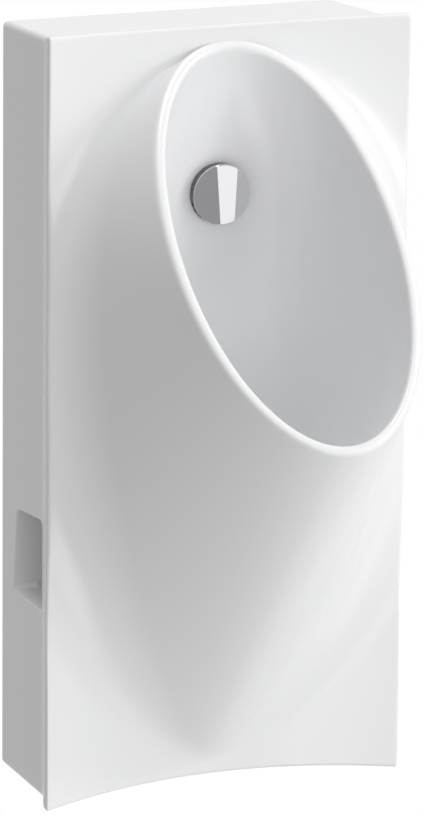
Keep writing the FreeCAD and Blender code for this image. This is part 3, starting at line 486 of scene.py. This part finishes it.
# %% The bowl's rings
HEAD_HEIGHT = 522.0
BOWL_BACK, BOWL_FLATNESS, BOWL_FLOOR = 101.4, 0.45, 224.0
DRAIN_DEPTH, FLOOR_RADIUS = 154.0, 37.0
BOWL_STAGES = (
    (-76.0, 0.15, -3.0, 0.7),
    (0.0, 0.36, -2.0, 1.0),
    (100.0, 0.58, 6.0, 1.0),
    (190.0, 0.78, 22.0, 1.0),
    (260.0, 0.93, 44.0, 0.5),
)


def bowl_controls(angle, grow=0.0):
    """The control rings of the bowl, from its mouth to its floor, grown by a wall."""
    length = RIM_HALF_LENGTH - RIM_BAND
    width = RIM_HALF_WIDTH - RIM_BAND
    nose = RIM_CENTRE - RIM_UP * length
    floor_front = np.array([0.0, -DRAIN_DEPTH - FLOOR_RADIUS, BOWL_FLOOR])
    floor_back = np.array([0.0, -DRAIN_DEPTH + FLOOR_RADIUS, BOWL_FLOOR])
    stages = [(RIM_CENTRE + RIM_UP * length, nose, width, 0.0)]
    for fall, share, narrowing, flatness in BOWL_STAGES:
        rear = np.array([0.0, -BOWL_BACK, HEAD_HEIGHT - fall])
        front = nose + (floor_front - nose) * share
        stages.append((rear, front, width - narrowing, flatness * BOWL_FLATNESS))
    stages.append((floor_back, floor_front, FLOOR_RADIUS, 0.0))
    rings = []
    for rear, front, half_width, flatness in stages:
        along = directions(rear - front)
        half_length = np.linalg.norm(rear - front) / 2 + grow
        up = np.sin(angle)
        up = np.where(up > 0, up * (1 + flatness * (1 - up * up)), up)
        wide = np.cos(angle)[:, None] * [half_width + grow, 0.0, 0.0]
        rings.append((rear + front) / 2 + wide + along * (half_length * up)[:, None])
    rings[-1] = rings[-1] - [0.0, 0.0, grow]
    return rings


def spline_rows(rings, count):
    """Rows down a clamped cubic spline whose controls are the rings."""
    degree = 3
    spans = len(rings) - degree
    knots = [0.0] * degree + list(range(spans + 1)) + [float(spans)] * degree
    rows = []
    for t in np.linspace(0, spans, count):
        span = min(int(t), spans - 1) + degree
        points = [rings[span - degree + step] for step in range(degree + 1)]
        for level in range(1, degree + 1):
            for step in range(degree, level - 1, -1):
                low = knots[span - degree + step]
                high = knots[span + 1 + step - level]
                share = (t - low) / (high - low)
                points[step] = points[step - 1] * (1 - share) + points[step] * share
        rows.append(points[degree])
    return rows


# %% [markdown]
# ## The outside as one stack of rings
# Each ring starts on the flat back and the stack runs forwards over the sides and their
# flare, round the lip, over panel and blend to the rim, and down into the bowl. The lip
# and both edges of the rim are rounded in the rows themselves. A Bevel modifier would
# do that too, but it would have to find those edges among thousands of others.

# %% The closed outside of the casting
LIP_ROUND = 3.2
BACK_DEPTHS = (0.01, 20.0, 40.0, 60.0)
SKIN_ROWS, BOWL_ROWS, FLARE_ROWS, ROUND_ROWS = 66, 46, 12, 6
FLARE_LEAD = 6.0


def outside_rings():
    places = station_places()
    angle = station_angles(places)
    levels, edge = skin_levels(angle)
    start = lip_lengths(levels)
    total = arc_lengths(levels)[-1]
    lip = along_profiles(levels, start)
    lip_depth = -lip[:, 1]
    slip = lip - casing_points(places, lip_depth)

    def side(depth):
        return casing_points(places, depth) + slip * (depth / lip_depth)[:, None]

    rows = [side(np.full(len(places), depth)) for depth in BACK_DEPTHS]
    flare = FLARE_START - FLARE_LEAD
    for share in np.linspace(0, 1, FLARE_ROWS):
        rows.append(side(flare + (lip_depth - LIP_ROUND - flare) * share))
    skin_start = along_profiles(levels, start + LIP_ROUND)
    rows += blend_curve(rows[-1], lip, skin_start, ROUND_ROWS)[1:]
    for share in np.linspace(0, 1, SKIN_ROWS)[1:]:
        rows.append(along_profiles(levels, start + LIP_ROUND + (total - start - LIP_ROUND) * share))
    rows += blend_curve(rows[-1], edge, rim_line(angle, RIM_ROUND), ROUND_ROWS)[1:]
    controls = bowl_controls(angle)
    mouth = controls[0]
    controls[0] = mouth + directions(controls[1] - mouth) * RIM_ROUND
    rows += blend_curve(rim_line(angle, RIM_BAND - RIM_ROUND), mouth, controls[0], ROUND_ROWS)
    rows += spline_rows(controls, BOWL_ROWS)[1:]
    return rows


rings = outside_rings()
print("outside:", len(rings), "rings of", len(rings[0]), "points")

# %% [markdown]
# ## The cast trap
# Water leaves the bowl through a bent passage that is cast in the china: down, round a
# bend that holds the water seal, up, and over to the wall. A curve with a round bevel
# would make such a tube, but only rings say exactly where its two end faces lie. The
# same route serves twice, for the bore and for the china round it.

# %% The bent passage
TRAP_BORE, TRAP_WALL, TRAP_BEND, TRAP_LOW, OUTLET_HEIGHT = 19.0, 9.0, 30.0, 165.0, 225.0
TUBE_SEGMENTS, LOWER_STEPS, UPPER_STEPS = 72, 25, 15


def trap_mesh(name, radius, top, outlet_depth):
    """The bent passage from the drain down, up again and out to the wall."""
    near = -DRAIN_DEPTH
    route = [(near, top, -90.0)]
    for turn in np.linspace(180, 360, LOWER_STEPS):
        spot = math.radians(turn)
        y, z = near + TRAP_BEND + TRAP_BEND * math.cos(spot), TRAP_LOW + TRAP_BEND * math.sin(spot)
        route.append((y, z, turn + 90))
    for turn in np.linspace(180, 90, UPPER_STEPS):
        spot = math.radians(turn)
        y = near + 3 * TRAP_BEND + TRAP_BEND * math.cos(spot)
        z = OUTLET_HEIGHT - TRAP_BEND + TRAP_BEND * math.sin(spot)
        route.append((y, z, turn - 90))
    route.append((-outlet_depth, OUTLET_HEIGHT, 0.0))
    wheel = np.linspace(0, 2 * math.pi, TUBE_SEGMENTS, endpoint=False)
    rows = []
    for y, z, heading in route:
        lean = math.radians(heading)
        sideways = np.stack([0 * wheel, -np.sin(wheel) * math.sin(lean), np.sin(wheel) * math.cos(lean)], -1)
        rows.append([0.0, y, z] + radius * (np.cos(wheel)[:, None] * [1.0, 0.0, 0.0] + sideways))
    return ring_mesh(name, rows)


weir, bend_roof = OUTLET_HEIGHT - TRAP_BORE, TRAP_LOW - TRAP_BEND + TRAP_BORE
print("water seal:", weir - bend_roof, "mm")

# %% [markdown]
# ## The side pockets
# A recess in each side wall lets a hand and a spanner reach the fixing bolt. Its mouth is
# rounded and flared back towards the wall, more at the sill than at the top, and the sill
# slopes outwards. The cutter is again a stack of rings, each a rounded rectangle that
# shrinks round the inner end and spreads at the mouth.

# %% The cutter for a pocket
POCKET_BACK, POCKET_FRONT, POCKET_LOW, POCKET_HIGH = 41.0, 94.0, 166.5, 246.5
POCKET_INNER, POCKET_DRAFT, POCKET_CORNER = 94.0, 3.0, 4.0
SILL_RISE, MOUTH_DEEP, MOUTH_PINCH = 6.0, 18.0, 3.5
MOUTH_FLARE_LOW, MOUTH_FLARE_HIGH = 15.0, 6.5
MOUTH_ROUND, END_ROUND, PAST_SIDE, PAST_SPREAD = 3.2, 5.0, 14.0, 4.0
POCKET_PLACE, CORNER_EASE, LEAST_CORNER = 0.8, 2.0, 1.0
SIDE_FACE = BACK_HALF + SIDE_DRAFT * POCKET_PLACE
ARC_POINTS, END_STEPS, MOUTH_STEPS = 8, 6, 7


def pocket_stops():
    """Distances from the middle of the casing, and how much the section shrinks there."""
    stops = []
    for turn in np.linspace(0, math.pi / 2, END_STEPS):
        stops.append((POCKET_INNER + END_ROUND * (1 - math.cos(turn)), END_ROUND * (1 - math.sin(turn))))
    stops.append((SIDE_FACE - MOUTH_DEEP, 0.0))
    for turn in np.linspace(0, math.pi / 2, MOUTH_STEPS):
        stops.append((SIDE_FACE - MOUTH_ROUND * (1 - math.sin(turn)), -MOUTH_ROUND * (1 - math.cos(turn))))
    stops.append((SIDE_FACE + PAST_SIDE, -MOUTH_ROUND - PAST_SPREAD))
    return stops


def pocket_mesh(name, side):
    """The recess in one side wall, its mouth and corners rounded."""
    one_side = list(CORNER_SHARE * np.arange(ARC_POINTS) / ARC_POINTS)
    one_side += [CORNER_SHARE, (1 + CORNER_SHARE) / 2]
    places = np.concatenate([first + np.array(one_side) for first in range(4)])
    middle = (POCKET_FRONT + POCKET_BACK) / 2
    rows = []
    for x, shrink in pocket_stops():
        draft = POCKET_DRAFT * max(0.0, SIDE_FACE - x) / (SIDE_FACE - POCKET_INNER)
        half = (POCKET_FRONT - POCKET_BACK) / 2 - shrink - draft / 2
        inward = min(1.0, max(0.0, SIDE_FACE - x) / MOUTH_DEEP)
        low, high = POCKET_LOW + SILL_RISE * inward + shrink, POCKET_HIGH - draft - shrink
        corner = max(POCKET_CORNER + CORNER_EASE - shrink, LEAST_CORNER)
        flat = rounded_outline(places, half, low, high, corner)
        back_share = (half - flat[:, 0]) / (2 * half)
        up_share = (flat[:, 1] - low) / (high - low)
        flare = MOUTH_FLARE_LOW + (MOUTH_FLARE_HIGH - MOUTH_FLARE_LOW) * up_share
        depth = middle - draft / 2 + flat[:, 0] - flare * back_share * (1 - inward)
        height = flat[:, 1] + MOUTH_PINCH * back_share * (1 - 2 * up_share) * (1 - inward)
        rows.append(np.stack([np.full(len(places), side * x), -depth, height], -1))
    return ring_mesh(name, rows)


print("pocket:", POCKET_FRONT - POCKET_BACK, "by", POCKET_HIGH - POCKET_LOW, "mm, and",
      round(SIDE_FACE - POCKET_INNER, 1), "deep")

# %% [markdown]
# ## The inner skins
# Behind the glaze the casting is a shell about 12 mm thick. Solidify would thicken the
# skin, but it would fold over itself where the funnel narrows to its tip. Moving the
# panel, fold and rim inwards by the wall and building the skin again stays clean.

# %% The hollow behind the skin and the outside of the bowl
BEHIND_WALL = 60.0
HIDDEN_STATIONS, HIDDEN_BOWL_ROWS, HIDDEN_SKIP = 200, 40, 5
TIP_CROWDING = 0.2


def inset_mesh(name, inset):
    """Everything behind the skin moved inwards."""
    angle = np.linspace(0, 2 * math.pi, HIDDEN_STATIONS, endpoint=False)
    levels, edge = skin_levels(angle - TIP_CROWDING * np.sin(2 * angle), inset)
    behind = levels[0] * [1, 0, 1] + [0, BEHIND_WALL, 0]
    return ring_mesh(name, [behind] + list(levels[::HIDDEN_SKIP]) + [levels[-1], edge])


def bowl_mesh(name, grow):
    angle = np.linspace(0, 2 * math.pi, HIDDEN_STATIONS, endpoint=False)
    return ring_mesh(name, spline_rows(bowl_controls(angle, grow), HIDDEN_BOWL_ROWS))


# %% [markdown]
# ## What stands in the hollow
# The hollow is the casing's inside, kept within the inset skin. The bowl, the trap with
# its horn, the boss behind the spray head, the pockets' shells, the ledges that hang on
# the hooks and the bolt bosses stand in it, so they are cut from the hollow before the
# hollow is cut from the casting.

# %% The hollow
CASING_WALL, BOWL_WALL, POCKET_WALL = 12.0, 11.0, 10.0
HORN_RADIUS, HORN_LENGTH, HORN_DEPTH = 38.0, 32.0, 28.0
CHINA_FACE, BOSS_THICKNESS, BOSS_RADIUS = 101.8, 12.5, 34.0
BOLT_OFFSET, BOLT_BOSS, BOSS_START = 118.0, 20.0, -6.0
LEDGE_LOW, LEDGE_START, LEDGE_THICKNESS, LEDGE_INNER = 604.0, 4.0, 12.0, 48.0
HOLLOW_START, HOLLOW_END, OVERRUN = -5.0, 445.0, 5.0
BREAK_IN, BREAK_THROUGH = 2.0, 3.0
BOSS_FACE = CHINA_FACE - BOSS_THICKNESS


def standing_pieces(inner, top):
    """What stands in the hollow, as closed meshes."""
    pieces = [bowl_mesh("bowl_outside", BOWL_WALL)]
    pieces.append(trap_mesh("trap_outside", TRAP_BORE + TRAP_WALL, BOWL_FLOOR - BREAK_IN, HORN_DEPTH))
    pieces.append(post_mesh("horn", HORN_RADIUS, 0, OUTLET_HEIGHT, (HORN_DEPTH, HORN_DEPTH + HORN_LENGTH)))
    pieces.append(post_mesh("boss", BOSS_RADIUS, 0, HEAD_HEIGHT, (BOSS_FACE, CHINA_FACE)))
    for side in (-1, 1):
        wide = sorted((side * (POCKET_INNER - POCKET_WALL), side * (inner + OVERRUN)))
        deep = (POCKET_BACK - POCKET_WALL, POCKET_FRONT + POCKET_WALL)
        tall = (POCKET_LOW - POCKET_WALL, POCKET_HIGH + POCKET_WALL)
        pieces.append(box_mesh("pocket_shell", wide, deep, tall))
        wide = sorted((side * LEDGE_INNER, side * (inner + OVERRUN)))
        deep = (LEDGE_START, LEDGE_START + LEDGE_THICKNESS)
        pieces.append(box_mesh("ledge", wide, deep, (LEDGE_LOW, top + OVERRUN)))
        deep = (BOSS_START, POCKET_BACK)
        pieces.append(post_mesh("bolt_boss", BOLT_BOSS, side * BOLT_OFFSET, BOLT_HEIGHT, deep))
    return pieces


def build_hollow():
    inner, top = BACK_HALF - CASING_WALL, BACK_HIGH - CASING_WALL
    low = BACK_LOW + CASING_WALL
    hollow = add_object("hollow", box_mesh("hollow", (-inner, inner), (HOLLOW_START, HOLLOW_END), (low, top)))
    combine(hollow, [inset_mesh("inset", CASING_WALL)], "INTERSECT")
    return combine(hollow, standing_pieces(inner, top), "DIFFERENCE")


hollow = build_hollow()
print("hollow:", len(hollow.data.polygons), "faces")

# %% [markdown]
# ## The casting as one solid
# The hollow, the trap's bore, the pockets, the bolt holes, the hole for the water supply
# and the strainer's seat are cut from the closed outside. The shading is smooth, and only
# edges sharper than 35 degrees stay crisp, such as those of the bores and the back.

# %% Cut the casting and hand it to the frame
SHANK_HOLE, BOLT_HOLE = 12.0, 6.8
SEAT_RADIUS, SEAT_DEPTH = 28.5, 4.0
CRISP_EDGE = 35


def seat_mesh(name):
    """The round recess in the bowl's floor that the strainer lies in."""
    turn = np.linspace(0, 2 * math.pi, POST_SEGMENTS, endpoint=False)
    ring = np.stack([SEAT_RADIUS * np.cos(turn), SEAT_RADIUS * np.sin(turn) - DRAIN_DEPTH, 0 * turn], -1)
    return ring_mesh(name, [ring + [0, 0, BOWL_FLOOR - SEAT_DEPTH], ring + [0, 0, BOWL_FLOOR + BREAK_IN]])


def build_china():
    cuts = [hollow.data.copy()]
    cuts.append(trap_mesh("trap_bore", TRAP_BORE, BOWL_FLOOR + BREAK_IN / 2, HORN_DEPTH - BREAK_IN))
    bolt_deep = (-BREAK_THROUGH, POCKET_BACK + BREAK_IN)
    shank_deep = (BOSS_FACE - BREAK_THROUGH, CHINA_FACE + BREAK_THROUGH)
    for side in (-1, 1):
        cuts.append(pocket_mesh("pocket", side))
        cuts.append(post_mesh("bolt_hole", BOLT_HOLE, side * BOLT_OFFSET, BOLT_HEIGHT, bolt_deep))
    cuts.append(post_mesh("inlet_hole", SHANK_HOLE, 0, HEAD_HEIGHT, shank_deep))
    cuts.append(seat_mesh("seat"))
    china = add_object("glazed_casting", ring_mesh("glazed_casting", rings))
    combine(china, cuts, "DIFFERENCE")
    for face in china.data.polygons:
        face.use_smooth = True
    china.data.set_sharp_from_angle(angle=math.radians(CRISP_EDGE))
    return china


china = build_china()
bpy.data.objects.remove(hollow)
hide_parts(*[name for name in frame["nodes"] if name.startswith("china_")])
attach(china, "urinal")
print("china:", len(china.data.polygons), "faces")

# %% [markdown]
# ## Finishes
# Everything is procedural. A finish is a base colour, a metallic value and a roughness
# that a fine noise varies, because no real surface is equally smooth all over. The noise
# reads Object coordinates, so it stays on the piece when the piece moves.

# %% Helpers for materials
GRAIN_DETAIL, DENT_DEPTH = 4.0, 0.0004


def new_material(name, colour, metallic=0.0, roughness=0.4):
    material = bpy.data.materials.new(name)
    material.use_nodes = True
    shader = material.node_tree.nodes["Principled BSDF"]
    shader.inputs["Base Color"].default_value = (*colour, 1.0)
    shader.inputs["Metallic"].default_value = metallic
    shader.inputs["Roughness"].default_value = roughness
    return material, shader


def add_grain(material, shader, scale, low, high, stretch=(1.0, 1.0, 1.0), bump=0.0):
    """Vary the roughness, and if asked the surface, with a noise fixed to the object."""
    nodes, links = material.node_tree.nodes, material.node_tree.links
    place = nodes.new("ShaderNodeTexCoord")
    mapping = nodes.new("ShaderNodeMapping")
    mapping.inputs["Scale"].default_value = stretch
    noise = nodes.new("ShaderNodeTexNoise")
    noise.inputs["Scale"].default_value = scale
    noise.inputs["Detail"].default_value = GRAIN_DETAIL
    spread = nodes.new("ShaderNodeMapRange")
    spread.inputs["To Min"].default_value = low
    spread.inputs["To Max"].default_value = high
    links.new(place.outputs["Object"], mapping.inputs["Vector"])
    links.new(mapping.outputs["Vector"], noise.inputs["Vector"])
    links.new(noise.outputs["Fac"], spread.inputs["Value"])
    links.new(spread.outputs["Result"], shader.inputs["Roughness"])
    if bump:
        dent = nodes.new("ShaderNodeBump")
        dent.inputs["Strength"].default_value = bump
        dent.inputs["Distance"].default_value = DENT_DEPTH
        links.new(noise.outputs["Fac"], dent.inputs["Height"])
        links.new(dent.outputs["Normal"], shader.inputs["Normal"])


# %% [markdown]
# ## Glaze, metals, rubber and plastic
# The glaze is a near-white gloss over a milky body. The cap of the spray head is bright
# chrome. Its barrel is duller and textured, and its dark base colour is painted shade:
# the dark band at its left stands for the shaded china that the barrel mirrors.
# Stainless steel is drawn in one direction, so its grain is stretched. Galvanised steel
# is patchy, brass is warm, and rubber is nearly black and hardly shines.

# %% One function for each finish
def glaze():
    material, shader = new_material("glazed_china", (0.852, 0.855, 0.862), roughness=0.22)
    shader.inputs["Specular IOR Level"].default_value = 0.42
    add_grain(material, shader, 9.0, 0.2, 0.26)
    return material


def chrome():
    material, shader = new_material("chrome", (0.86, 0.86, 0.89), metallic=1.0)
    add_grain(material, shader, 160.0, 0.07, 0.11)
    return material


def painted_shade_chrome():
    """The barrel's plating, duller than the polished cap's; its dark base colour is painted shade, the shaded
    china it mirrors.
    """
    # painted shade: the dark base colour stands for the shaded china mirrored in the barrel
    material, shader = new_material("painted_shade_chrome", (0.17, 0.17, 0.18), metallic=1.0)
    add_grain(material, shader, 900.0, 0.12, 0.4, bump=0.5)
    return material


def stainless_steel():
    material, shader = new_material("stainless_steel", (0.6, 0.6, 0.61), metallic=1.0)
    add_grain(material, shader, 240.0, 0.24, 0.38, stretch=(1.0, 14.0, 1.0))
    return material


def galvanised_steel():
    material, shader = new_material("galvanised_steel", (0.5, 0.52, 0.54), metallic=1.0)
    add_grain(material, shader, 90.0, 0.35, 0.6, bump=0.2)
    return material


def brass():
    material, shader = new_material("brass", (0.72, 0.54, 0.27), metallic=1.0)
    add_grain(material, shader, 200.0, 0.22, 0.36)
    return material


def black_rubber():
    material, shader = new_material("black_rubber", (0.02, 0.02, 0.021))
    add_grain(material, shader, 300.0, 0.55, 0.8, bump=0.15)
    return material


def moulded_plastic():
    material, shader = new_material("moulded_plastic", (0.72, 0.72, 0.69))
    add_grain(material, shader, 120.0, 0.32, 0.46)
    return material


# %% [markdown]
# ## Give every piece its finish
# The record names a material slot for each imported node, so one table from slot to finish
# dresses them all. The barrel shares the cap's slot and gets its own duller plating, darkened
# with painted shade.

# %% Dress the pieces
FINISHES = {
    "glazed_china": glaze(),
    "chrome": chrome(),
    "stainless_steel": stainless_steel(),
    "galvanised_steel": galvanised_steel(),
    "brass": brass(),
    "black_rubber": black_rubber(),
    "moulded_plastic": moulded_plastic(),
}
china.data.materials.clear()
china.data.materials.append(FINISHES["glazed_china"])
for part in frame["record"]["subparts"]:
    node = frame["nodes"][part["node"]]
    node.data.materials.clear()
    node.data.materials.append(FINISHES[part["material_slot"]])
# painted shade: the barrel's dark chrome paints in the shaded china that it mirrors
frame["nodes"]["spray_barrel"].data.materials[0] = painted_shade_chrome()
print("finishes:", ", ".join(FINISHES))

# %% [markdown]
# ## Camera
# The photo was taken from well back with a long lens, a little above and to the left of
# the middle. Such a lens hardly shows perspective, so the camera's place and its focal
# length, given in pixels of the picture, were worked out together from the outlines.

# %% Place the camera
IMAGE_SIZE = (423, 815)
CAMERA_PLACE = Vector((-1.88374, -4.26436, 1.25461))
CAMERA_TURN, CAMERA_DIP, CAMERA_ROLL = 24.31, 13.85, 0.61
FOCAL_PIXELS, SENSOR_HEIGHT = 5498.0, 36.0
CLIP_END = 50.0


def place_camera():
    turn, dip, roll = (math.radians(v) for v in (CAMERA_TURN, CAMERA_DIP, CAMERA_ROLL))
    ahead = Vector((math.sin(turn) * math.cos(dip), math.cos(turn) * math.cos(dip), -math.sin(dip)))
    right = Vector((math.cos(turn), -math.sin(turn), 0.0))
    up = right.cross(ahead)
    side = right * math.cos(roll) + up * math.sin(roll)
    top = up * math.cos(roll) - right * math.sin(roll)
    lens = bpy.data.cameras.new("camera")
    lens.sensor_fit = "VERTICAL"
    lens.sensor_height = SENSOR_HEIGHT
    lens.lens = FOCAL_PIXELS / IMAGE_SIZE[1] * SENSOR_HEIGHT
    lens.clip_end = CLIP_END
    camera = bpy.data.objects.new("camera", lens)
    camera.matrix_world = Matrix((side, top, -ahead)).transposed().to_4x4()
    camera.location = CAMERA_PLACE
    bpy.context.scene.collection.objects.link(camera)
    bpy.context.scene.camera = camera
    return lens


print("focal length:", round(place_camera().lens, 1), "mm")

# %% [markdown]
# ## What polished metal mirrors
# Chrome has no look of its own and shows the room. The cap's flat middle facet mirrors a
# white strip, and the facets beside it mirror greyer walls. Cards round the object could
# do that, but they would light the china as well. So the world itself has stripes round
# the horizon that only mirror rays see.

# %% The striped studio
MIRROR_STOPS = ((-180, 0.9), (-110, 0.9), (-85, 1.0), (-45, 1.0), (-25, 0.5), (2, 0.3),
                (18.5, 0.3), (20.5, 1.0), (30, 1.0), (33, 0.62), (60, 0.4), (90, 0.9), (180, 0.9))
MIRROR_TINT = 1.01


def mirrored_studio(nodes, links):
    """A background whose tone depends on the angle round from straight ahead."""
    place = nodes.new("ShaderNodeTexCoord")
    split = nodes.new("ShaderNodeSeparateXYZ")
    links.new(place.outputs["Generated"], split.inputs["Vector"])
    turn = nodes.new("ShaderNodeMath")
    turn.operation = "ARCTAN2"
    flip = nodes.new("ShaderNodeMath")
    flip.operation = "MULTIPLY"
    flip.inputs[1].default_value = -1.0
    links.new(split.outputs["Y"], flip.inputs[0])
    links.new(split.outputs["X"], turn.inputs[0])
    links.new(flip.outputs["Value"], turn.inputs[1])
    degrees = nodes.new("ShaderNodeMapRange")
    degrees.inputs["From Min"].default_value = math.radians(-180)
    degrees.inputs["From Max"].default_value = math.radians(180)
    links.new(turn.outputs["Value"], degrees.inputs["Value"])
    ramp = nodes.new("ShaderNodeValToRGB")
    while len(ramp.color_ramp.elements) < len(MIRROR_STOPS):
        ramp.color_ramp.elements.new(0.5)
    for element, (angle, tone) in zip(ramp.color_ramp.elements, MIRROR_STOPS):
        element.position = (angle + 180) / 360
        element.color = (tone, tone, tone * MIRROR_TINT, 1.0)
    links.new(degrees.outputs["Result"], ramp.inputs["Fac"])
    shown = nodes.new("ShaderNodeBackground")
    links.new(ramp.outputs["Color"], shown.inputs["Color"])
    return shown


# %% [markdown]
# ## The white world
# The camera sees plain white. The soft fill light is weaker than that, or the china would
# burn out, and weaker still on the left, where the photo's side wall lies in light shade.
# Light Path tells the three kinds of ray apart.

# %% World
FILL_STRENGTH, FILL_LEFT, FILL_RIGHT = 0.462, 0.76, 1.16
WHITE = (1.0, 1.0, 1.0, 1.0)


def graded_fill(nodes, links):
    """White light that grows from the left of the studio to its right."""
    fill = nodes.new("ShaderNodeBackground")
    fill.inputs["Color"].default_value = WHITE
    place = nodes.new("ShaderNodeTexCoord")
    split = nodes.new("ShaderNodeSeparateXYZ")
    dimmer = nodes.new("ShaderNodeMapRange")
    dimmer.inputs["From Min"].default_value = -1.0
    dimmer.inputs["To Min"].default_value = FILL_STRENGTH * FILL_LEFT
    dimmer.inputs["To Max"].default_value = FILL_STRENGTH * FILL_RIGHT
    links.new(place.outputs["Generated"], split.inputs["Vector"])
    links.new(split.outputs["X"], dimmer.inputs["Value"])
    links.new(dimmer.outputs["Result"], fill.inputs["Strength"])
    return fill


def white_world():
    """Plain white to the camera, softer white as light, and a striped studio in mirrors."""
    world = bpy.data.worlds.new("studio")
    bpy.context.scene.world = world
    world.use_nodes = True
    nodes, links = world.node_tree.nodes, world.node_tree.links
    nodes.clear()
    seen = nodes.new("ShaderNodeBackground")
    seen.inputs["Color"].default_value = WHITE
    seen.inputs["Strength"].default_value = 1.0
    ray = nodes.new("ShaderNodeLightPath")
    camera_mix = nodes.new("ShaderNodeMixShader")
    links.new(ray.outputs["Is Camera Ray"], camera_mix.inputs["Fac"])
    links.new(graded_fill(nodes, links).outputs["Background"], camera_mix.inputs[1])
    links.new(seen.outputs["Background"], camera_mix.inputs[2])
    mirror_mix = nodes.new("ShaderNodeMixShader")
    links.new(ray.outputs["Is Glossy Ray"], mirror_mix.inputs["Fac"])
    links.new(camera_mix.outputs["Shader"], mirror_mix.inputs[1])
    links.new(mirrored_studio(nodes, links).outputs["Background"], mirror_mix.inputs[2])
    output = nodes.new("ShaderNodeOutputWorld")
    links.new(mirror_mix.outputs["Shader"], output.inputs["Surface"])


white_world()
print("fill from left and right:", round(FILL_STRENGTH * FILL_LEFT, 2), round(FILL_STRENGTH * FILL_RIGHT, 2))

# %% [markdown]
# ## Soft boxes
# The photo was lit by broad boxes. One stands overhead and the others in front, low and
# to the right, so the left side and the right wall of the bowl fall into light shade.
# One small box, high on the right, gives the spray head its faint shadow. A row holds
# the name, the degrees round to the right and up from straight ahead, the power and
# the size.

# %% Light
LIGHT_AIM = Vector((0.0, -0.15, 0.1))
LIGHT_DISTANCE = 3.6
SOFT_BOXES = (
    ("overhead", 0, 88, 48.5, 1.5),
    ("right_of_camera", 45, 5, 28.0, 1.5),
    ("ahead", 0, 5, 17.0, 1.5),
    ("right_high", 55, 40, 19.0, 0.5),
    ("low_front", 0, -30, 19.4, 1.5),
    ("low_right", 60, -30, 6.9, 1.5),
)


def soft_box(name, around, above, power, size):
    light = bpy.data.lights.new(name, "AREA")
    light.shape = "SQUARE"
    light.size = size
    light.energy = power
    round_to, up_to = math.radians(around), math.radians(above)
    away = Vector((math.sin(round_to) * math.cos(up_to), -math.cos(round_to) * math.cos(up_to),
                   math.sin(up_to)))
    lamp = bpy.data.objects.new(name, light)
    lamp.location = LIGHT_AIM + away * LIGHT_DISTANCE
    lamp.rotation_euler = (-away).to_track_quat("-Z", "Y").to_euler()
    bpy.context.scene.collection.objects.link(lamp)


for box in SOFT_BOXES:
    soft_box(*box)
view = bpy.context.scene.view_settings
view.view_transform = "Standard"
view.look = "None"
print("soft boxes:", len(SOFT_BOXES), "with", round(sum(box[3] for box in SOFT_BOXES), 1), "W in all")
